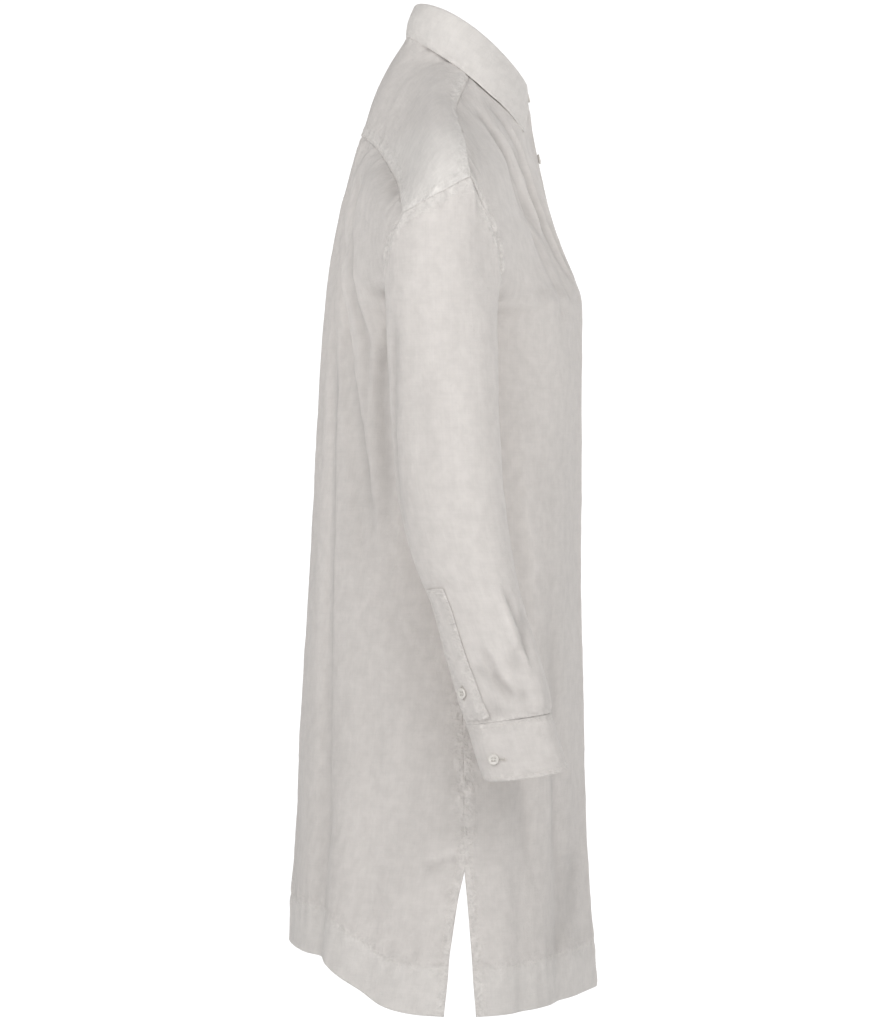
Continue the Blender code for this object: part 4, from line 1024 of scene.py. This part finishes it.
# Creases of a sleeve: angle and distance down the arm at each end, width, height
SLEEVE_CREASES = {
    -1: (
        (70, 0.35, 20, 0.41, 0.008, -0.003),
        (-30, 0.4, 30, 0.44, 0.007, -0.0028),
        (120, 0.3, 190, 0.345, 0.009, -0.004),
        (250, 0.33, 200, 0.38, 0.009, -0.0035),
    ),
    1: (
        (75, 0.34, 15, 0.395, 0.008, -0.003),
        (-20, 0.405, 40, 0.435, 0.007, -0.0028),
        (125, 0.31, 185, 0.35, 0.009, -0.004),
        (240, 0.32, 205, 0.385, 0.009, -0.0035),
    ),
}
# Creases on the outer side of the elbow and forearm, with the back's columns
FOREARM_CREASES = {
    -1: (
        (-0.003, 0.0045, 0.3, 0.2, 0.3, ((-0.0552, -0.522), (-0.0723, -0.566), (-0.09, -0.618))),
        (0.0022, 0.005, 0.2, 0.3, 0.3, ((-0.049, -0.53), (-0.065, -0.57), (-0.083, -0.618))),
        (-0.0026, 0.0045, 0.3, 0.2, 0.2, ((-0.0333, -0.584), (-0.0514, -0.619), (-0.0685, -0.645))),
        (0.002, 0.005, 0.2, 0.3, 0.2, ((-0.04, -0.58), (-0.058, -0.615), (-0.075, -0.64))),
        (-0.003, 0.007, 0.2, 0.2, 0.5, ((0.048, -0.25), (0.047, -0.4), (0.036, -0.52))),
        (-0.0012, 0.008, 0.2, 0.4, 0.5, ((0.02, -0.3), (0.017, -0.38), (0.012, -0.46))),
    ),
    1: (
        (-0.0028, 0.0045, 0.3, 0.2, 0.3, ((-0.053, -0.515), (-0.07, -0.56), (-0.088, -0.612))),
        (0.0022, 0.005, 0.2, 0.3, 0.3, ((-0.047, -0.524), (-0.063, -0.566), (-0.081, -0.61))),
        (-0.0026, 0.0045, 0.3, 0.2, 0.2, ((-0.035, -0.578), (-0.052, -0.612), (-0.07, -0.642))),
        (-0.0028, 0.007, 0.2, 0.2, 0.5, ((0.047, -0.26), (0.0455, -0.41), (0.035, -0.53))),
        (-0.0012, 0.008, 0.2, 0.4, 0.5, ((0.018, -0.31), (0.015, -0.39), (0.01, -0.47))),
    ),
}


def rings_at(rings, degrees):
    """Points on rings round the left arm, a row to each, by their angles from its outer side."""
    x, y, z, wide, deep, square, tilt = [v[:, None] for v in np.array(rings, float).T]
    a, tilt = np.radians(degrees), np.radians(tilt)
    out, ahead = np.cos(a), np.sin(a)
    radius = (abs(out / wide) ** square + abs(ahead / deep) ** square) ** (-1 / square)
    side, depth = x + radius * out, y - radius * ahead * np.cos(tilt)
    return np.stack((side, depth, z + radius * ahead * np.sin(tilt)), axis=-1)


def sleeve_form(loop, angles, downs):
    """The left sleeve's points at the distances down the arm; the first is the armhole itself."""
    first, second = rings_at([SLEEVE_RINGS[0][1:], SLEEVE_RINGS[1][1:]], angles)
    reach = np.linalg.norm(first - loop, axis=1, keepdims=True)
    inner = np.clip(0.1 - np.cos(np.radians(angles)), 0, 1)[:, None]
    start = unit((1 - inner) * np.array((0.0, 0.0, -1.0)) + inner * np.array((1.0, 0.0, -0.15)))
    t = (downs[downs < SLEEVE_RINGS[0][0]] / SLEEVE_RINGS[0][0])[:, None, None]
    head = hermite(t, loop, first, reach * start, reach * unit(second - first))
    arm = rings_at(curve(SLEEVE_RINGS, downs[downs >= SLEEVE_RINGS[0][0]]), angles)
    return np.concatenate((head, arm))


SLEEVE_DOWNS = SLEEVE_RINGS[-1][0] * spread(190, 0.4, 0.4)
sleeves = {}
for side, word in SIDES:
    end = 0 if side == 1 else -1
    edges = (back[ARMHOLE_ROWS::-1, end], yoke[:, end], fronts[side][: ARMHOLE_ROWS + 1, -1])
    parts = [on_side(side, edge) for edge in edges]
    marks = (UNDERARM, 360 + BACK_CORNER, 360 + FRONT_CORNER, 360 + UNDERARM)
    angles = []
    for number, part in enumerate(parts):
        run = run_along(part[None], 1)[0]
        angles.append(marks[number] + (marks[number + 1] - marks[number]) * run / run[-1])
    loop = np.concatenate([part[:-1] for part in parts[:2]] + [parts[2]])
    angles = np.concatenate([part[:-1] for part in angles[:2]] + [angles[2]])
    plain = sleeve_form(loop, angles, SLEEVE_DOWNS)
    normals = normals_of(plain, middle=(0.25, -0.02, -0.4))
    turns = np.where(angles > 360 + BACK_CORNER, angles - 360, angles)
    around = np.radians(turns) * SLEEVE_ROUND + np.zeros(plain.shape[:2])
    across = np.radians(angles) * SLEEVE_ROUND + np.zeros(around.shape)
    place = np.stack((across, -plain[..., 2]), axis=-1)
    down = SLEEVE_DOWNS[:, None] + np.zeros(around.shape)
    creases = [
        (math.radians(a) * SLEEVE_ROUND, d, math.radians(b) * SLEEVE_ROUND, e, w, h)
        for a, d, b, e, w, h in SLEEVE_CREASES[side]
    ]
    free = ease(0.05, 0.10, down) * (1 - ease(0.43, 0.452, down))
    sheet = folded(plain, normals, around, down, creases, free)
    sheet = rumpled(sheet, normals, place, 0.0016, 101 + side, ALL_ROUND)
    gather = noise(place[..., 0] / 0.010, down / 0.2, 105 + side) * ease(0.40, 0.443, down)
    gather = gather * (1 - ease(0.446, 0.452, down)) * 0.0020
    sheet = sheet + normals * gather[..., None]
    sheet = creased(sheet, normals, FOREARM_CREASES[side], 1, normals[..., 0] > 0.2)
    seams = [("top", 0.0, 0.0013, 0.0, 0), ("foot", 0.0, 0.0012, 0.0, 0)]
    seams += [(name, 0.0, 0.0007, 0.0, 0) for name in ("left", "right")]
    sheet = puckered(sheet, normals, seams, 111 + side)
    sleeves[side] = (sheet, angles)
    bands = [(edge, 0.010, 0.5, 0.6) for edge in ("top", "left", "right")] + [("foot", 0.0, 0.0, 0.6)]
    hems = (("top", 0.010), ("left", 0.008), ("right", 0.008))
    work = ("sleeve_" + word, *(on_side(side, a) for a in (plain, sheet, normals)), place)
    single_sheet(*work, bands, hems, (0.44, 0.50), 0.150)


# The sleeve plackets: a strip of doubled linen sewn over the slit above each cuff. It is
# topstitched along both edges and across its top, and buttoned halfway down.
# Its edges: distance down the arm, angles of the near and the far edge from the sleeve's outer side
SLEEVE_PLACKET = (
    (0.326, -66.0, -35.0),
    (0.4, -64.0, -32.0),
    (0.448, -62.0, -28.0),
)
flaps = {}
for side, word in SIDES:
    sheet, angles = sleeves[side]
    downs = np.linspace(SLEEVE_PLACKET[0][0], SLEEVE_PLACKET[-1][0], 64)
    edges = curve(SLEEVE_PLACKET, downs)
    wanted = edges[:, :1] + (edges[:, 1:] - edges[:, :1]) * np.linspace(0, 1, 18) + 360
    rows = np.interp(downs, SLEEVE_DOWNS, np.arange(len(SLEEVE_DOWNS)))[:, None]
    cols = np.interp(wanted, angles, np.arange(len(angles)))
    r, c = rows.astype(int), cols.astype(int)
    s, t = (rows - r)[..., None], (cols - c)[..., None]
    flap = (1 - s) * ((1 - t) * sheet[r, c] + t * sheet[r, c + 1])
    flap = flap + s * ((1 - t) * sheet[r + 1, c] + t * sheet[r + 1, c + 1])
    normals = normals_of(flap, middle=(0.25, -0.05, -0.6))
    rims = [(name, 0.002, 0.0007, 0.0, 0.004) for name in ("left", "right", "top")]
    flap = puckered(flap + normals * (BAND + 0.0005), normals, rims, 141 + side)
    flap, normals = on_side(side, flap), on_side(side, normals)
    stitched(flap, normals, ("top", "left", "right"), 0.002)
    stitched(flap, normals, ["top"], 0.032)
    flaps[side] = flap
    node_name = "sleeve_placket_" + word
    double_sheet(node_name, node_name, flap, normals, cut_of(flap), 0.7, 0.1)


# The cuffs: stiff bands of doubled linen with interlining and rounded corners, sewn to the gathered
# sleeve and topstitched all round, the outer end buttoned over the inner one.
CUFF_HEIGHT = 0.055
CUFF_TOP, CUFF_FOOT = np.array((0.2675, -0.0632, -0.6570)), np.array((0.2705, -0.0796, -0.7085))
CUFF_WIDE, CUFF_DEEP, CUFF_SQUARE, CUFF_TILT = 0.0345, 0.0415, 3.3, 8.0
CUFF_LEAN = 0.0035  # how much lower the outer side hangs
CUFF_END, CUFF_OVERLAP, CUFF_CORNER = -80.0, 36.0, 0.012
cuffs = {}
for side, word in SIDES:
    turn = 360.0 + CUFF_OVERLAP
    columns = []
    for step in turn * spread(170, 0.85, 0.85):
        run = math.radians(min(step, turn - step)) * CUFF_DEEP
        shares = spread(26, 0.5, 0.5) * (1 - drawn_in(run, CUFF_CORNER) / CUFF_HEIGHT)
        sink = LAP * step / 345.0  # the inner end has gone a lap's depth under the outer one
        ring = (CUFF_WIDE - sink, CUFF_DEEP - sink, CUFF_SQUARE, CUFF_TILT)
        rings = [(*(CUFF_TOP + (CUFF_FOOT - CUFF_TOP) * share), *ring) for share in shares]
        column = rings_at(rings, CUFF_END + step)[:, 0]
        column[:, 2] -= CUFF_LEAN * shares * math.cos(math.radians(CUFF_END + step))
        columns.append(column)
    cuff = np.array(columns).transpose(1, 0, 2)
    normals = normals_of(cuff, middle=(CUFF_TOP + CUFF_FOOT) / 2)
    place = cut_of(cuff)
    cuff = rumpled(cuff, normals, place, 0.0008, 121 + side, ())
    rims = [("top", 0.003, 0.0006, 0.0, 0.004), ("foot", 0.004, 0.0005, 0.0, 0.004)]
    cuff = puckered(cuff, normals, rims, 131 + side)
    cuff, normals = on_side(side, cuff), on_side(side, normals)
    stitched(cuff, normals, ALL_ROUND, 0.0035)
    cuffs[side] = cuff
    node_name = "cuff_" + word
    double_sheet(node_name, node_name, cuff, normals, place, 0.6, 0.0)


# The buttons: shell, turned with a raised rim and a sunk middle, drilled with four holes, and each
# sewn on with two bars of thread that hold it just off the cloth.
BUTTON_WIDE, BUTTON_THICK, BUTTON_LIFT = 0.0105, 0.0022, 0.0005
HOLE_WIDE, HOLE_OUT = 0.0016, 0.0013  # a hole, and how far out it is along each side
# Polished shell, a little warmer than the cloth, with a small clear glint
SHELL = finish_of("button shell", {"Base Color": colour("#DAD6D0"), "Roughness": 0.32, "IOR": 1.53})


def turned_object(name, profile, sides, centre=(0, 0)):
    """A turned solid, upright, by its profile of radius and height."""
    work = bmesh.new()
    turn = [2 * math.pi * k / sides for k in range(sides)]
    rings = [
        [work.verts.new((centre[0] + r * math.cos(a), centre[1] + r * math.sin(a), z)) for a in turn]
        for r, z in profile
    ]
    for low, high in zip(rings, rings[1:]):
        for k in range(sides):
            work.faces.new((low[k], low[(k + 1) % sides], high[(k + 1) % sides], high[k]))
    work.faces.new(rings[0][::-1])
    work.faces.new(rings[-1])
    mesh = bpy.data.meshes.new(name)
    work.to_mesh(mesh)
    work.free()
    return in_scene(name, mesh)


# A button's profile: shares of its radius and of its thickness
BUTTON_PROFILE = (
    (0.8, 0.0),
    (0.93, 0.1),
    (1.0, 0.42),
    (0.99, 0.72),
    (0.93, 0.96),
    (0.85, 1.0),
    (0.77, 0.95),
    (0.66, 0.78),
    (0.52, 0.72),
)


def button_mesh():
    """A turned disc with its four holes cut through it."""
    r, t = BUTTON_WIDE / 2, BUTTON_THICK
    disc = turned_object("disc", [(r * a, t * b) for a, b in BUTTON_PROFILE], 56)
    middles = [(HOLE_OUT * a, HOLE_OUT * b) for a in (-1, 1) for b in (-1, 1)]
    drill = ((HOLE_WIDE / 2, -t), (HOLE_WIDE / 2, 2 * t))
    holes = [turned_object("hole", drill, 14, middle) for middle in middles]
    for hole in holes:
        cut = disc.modifiers.new("hole", "BOOLEAN")
        cut.operation, cut.solver, cut.object = "DIFFERENCE", "EXACT", hole
    bpy.context.view_layer.update()
    mesh = bpy.data.meshes.new_from_object(disc.evaluated_get(bpy.context.evaluated_depsgraph_get()))
    for made in (disc, *holes):
        bpy.data.objects.remove(made)
    mesh.set_sharp_from_angle(angle=math.radians(38))
    mesh.materials.clear()
    mesh.materials.append(SHELL)
    return mesh


def seat_of(node_name, grid, anchor):
    """Where a CAD button's middle meets the cloth under it, and the way that it faces."""
    points = np.array([v.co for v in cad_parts[node_name].data.vertices])
    centre = (points.min(axis=0) + points.max(axis=0)) / 2
    facing = np.linalg.svd(points - points.mean(axis=0))[2][2]
    facing = facing * np.sign(facing @ (centre - anchor))
    off = grid.reshape(-1, 3) - centre
    along = off @ facing
    near = np.linalg.norm(off - along[:, None] * facing, axis=1) < 0.004
    near &= np.abs(along) < 0.006
    height = np.sort(along[near])[-max(1, near.sum() // 4) :].mean()
    return centre + facing * height, facing


# Each button: its node, the cloth under it, a point that it faces away from, the way along its
# buttonhole, how far the hole's middle lies that way, and the hole's length
seats = []
for number in range(1, 9):
    seats.append((f"front_button_{number}", front_band, None, (0, 0, 1), 0.0, 0.013))
seats.append(("collar_button", stand, None, (1, 0, 0), -0.004, 0.013))
for side, word in SIDES:
    wrist = on_side(side, (CUFF_TOP + CUFF_FOOT) / 2)
    seats.append((f"cuff_button_{word}", cuffs[side], wrist, (0, 1, 0), -0.004, 0.014))
    seats.append((f"sleeve_button_{word}", flaps[side], wrist, (0, 0, 1), 0.0, 0.013))
BUTTON = button_mesh()
HOLES = []  # each buttonhole: its middle, the way along it, the way that it faces, its length
BARS = []  # each button's bars of thread: start, end, facing
for node_name, grid, anchor, way, shift, length in seats:
    low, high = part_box(node_name)
    if anchor is None:
        anchor = np.array((0, -0.03, (low[2] + high[2]) / 2))
    seat, facing = seat_of(node_name, grid, anchor)
    up = unit(np.array(way, float) - facing * (np.array(way, float) @ facing))
    side_way = np.cross(up, facing)
    piece = in_scene(node_name + "_shell", BUTTON)
    place = Matrix.Identity(4)
    for column, axis in enumerate((side_way, up, facing, seat + facing * BUTTON_LIFT)):
        place.col[column][:3] = axis
    if np.dot(np.cross(side_way, up), facing) < 0:
        place.col[0][:3] = -side_way
    piece.matrix_world = place
    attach(piece, "root")
    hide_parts(node_name)
    HOLES.append((seat + up * shift, up, facing, length))
    face = seat + facing * (BUTTON_LIFT + BUTTON_THICK * 0.72)
    # three strands over each pair of holes, and two down through each hole
    for a in (-1, 1):
        for strand in (-0.00028, 0.0, 0.00028):
            middle = face + side_way * (a * HOLE_OUT + strand) + facing * 0.00012
            BARS.append((middle - up * HOLE_OUT * 1.35, middle + up * HOLE_OUT * 1.35, facing))
        for strand in (-0.0003, 0.0003):
            for b in (-1, 1):
                foot = seat + side_way * (a * HOLE_OUT + strand) + up * b * HOLE_OUT
                BARS.append((foot - facing * 0.0008, foot + facing * 0.0012, side_way))


# The thread: topstitching along the seams and hems, buttonholes worked over their edges, and the
# bars that hold the buttons. Each stitch is a short thick strand that sinks at both ends.
# Spun thread, paler than the single cloth, so that the rows of stitches can be seen
SPUN = finish_of("sewing thread", {"Base Color": colour("#D9D4CE"), "Roughness": 0.6})
STITCH, PITCH = 0.0022, 0.0030  # a stitch's length, and how far apart stitches start
STRAND, TWIST = 0.00019, 0.00024  # half as thick as sewing thread, and as buttonhole twist
BAR_PITCH, BAR_REACH = 0.00042, 0.0013  # between a buttonhole's stitches, and how long they are


def strands(name, starts, ends, facing, radius):
    """Many short strands as one mesh, each with pointed ends and four sides."""
    along = unit(ends - starts)
    side = unit(np.cross(facing, along))
    up = np.cross(along, side)
    rows = [starts]
    for share in (0.2, 0.8):
        middle = starts + (ends - starts) * share
        for a, b in ((1, 0), (0, 1.1), (-1, 0), (0, -0.8)):
            rows.append(middle + radius * (a * side + b * up))
    rows.append(ends)
    points = np.stack(rows, axis=1).reshape(-1, 3)
    faces = []
    for k in range(4):
        n = (k + 1) % 4
        faces += [(0, 1 + n, 1 + k), (9, 5 + k, 5 + n)]
        faces += [(1 + k, 1 + n, 5 + n), (1 + k, 5 + n, 5 + k)]
    faces = (np.array(faces)[None] + np.arange(len(starts))[:, None, None] * 10).reshape(-1, 3)
    mesh = bpy.data.meshes.new(name)
    mesh.from_pydata(points, [], faces)
    return placed(name, mesh, SPUN)


starts, ends, facings = [], [], []
for line, normals in THREAD:
    run = np.concatenate(([0], np.cumsum(np.linalg.norm(np.diff(line, axis=0), axis=1))))
    at = np.arange(0.0008, run[-1] - STITCH, PITCH)
    places = ((starts, 0, line), (ends, STITCH, line), (facings, STITCH / 2, normals))
    for found, ahead, values in places:
        found.append(np.column_stack([np.interp(at + ahead, run, a) for a in values.T]))
strands("topstitching", *[np.concatenate(a) for a in (starts, ends, facings)], STRAND)

work = []
for middle, way, facing, length in HOLES:
    side_way = np.cross(way, facing)
    for at in np.arange(-length / 2, length / 2, BAR_PITCH):
        for a in (-1, 1):
            foot = middle + way * at + facing * 0.0001
            work.append((foot + side_way * a * 0.00015, foot + side_way * a * BAR_REACH, facing))
    for end in (-1, 1):
        for k in range(4):
            foot = middle + way * (end * (length / 2 + k * 0.0003)) + facing * 0.0002
            work.append((foot - side_way * BAR_REACH, foot + side_way * BAR_REACH, facing))
strands("buttonholes", *[np.array(a) for a in zip(*work)], TWIST)
strands("button_thread", *[np.array(a) for a in zip(*BARS)], TWIST)


# The room: a pale floor of lit paper well below the hem, a backdrop that is bright up to a little
# above the horizon, two large soft lamps on the wearer's right and one on the left.
FLOOR_WIDE, FLOOR_THICK, FLOOR_HEIGHT = 4.2, 0.02, -1.75
floor = turned_object("floor", ((FLOOR_WIDE, -FLOOR_THICK), (FLOOR_WIDE, 0.0)), 96)
floor.location = (0, 0, FLOOR_HEIGHT)
# Matt pale paper that glows faintly, as it does in a bright studio
paper = {"Base Color": colour("#EDEDED"), "Roughness": 0.9}
paper |= {"Emission Color": (1, 1, 1, 1), "Emission Strength": 0.16}
floor.data.materials.append(finish_of("pale floor", paper))
floor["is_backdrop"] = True

world = bpy.data.worlds.new("studio")
bpy.context.scene.world = world
world.use_nodes = True
sky = world.node_tree
# the ramp runs from straight down (0) to straight up (1)
rising = node(sky, "SeparateXYZ", {0: node(sky, "TexCoord").outputs["Generated"]}).outputs[2]
ramp = node(sky, "ValToRGB", {0: maths(sky, "MULTIPLY_ADD", rising, 0.5, 0.5)})
ramp.color_ramp.elements[0].color = (1.0, 1.0, 1.0, 1)
ramp.color_ramp.elements[1].color = (0.15, 0.15, 0.15, 1)
for place, level in ((0.59, 1.0), (0.625, 0.16)):
    ramp.color_ramp.elements.new(place).color = (level, level, level, 1)
sky.links.new(ramp.outputs[0], sky.nodes["Background"].inputs[0])
sky.nodes["Background"].inputs[1].default_value = 1.12

LAMP_WIDE, LAMP_AIM = 1.8, Vector((0, 0, -0.45))
for name, place, energy in (
    ("front_key", (-2.2, -1.5, 1.0), 31),
    ("back_key", (-2.2, 1.7, 1.0), 32),
    ("other_side", (2.5, -0.6, 1.0), 40),
):
    lamp = in_scene(name, bpy.data.lights.new(name, "AREA"))
    lamp.data.shape, lamp.data.size, lamp.data.energy = "DISK", LAMP_WIDE, energy
    lamp.location = place
    lamp.rotation_euler = (LAMP_AIM - lamp.location).to_track_quat("-Z", "Y").to_euler()
bpy.context.scene.view_settings.view_transform = "Standard"

low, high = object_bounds()
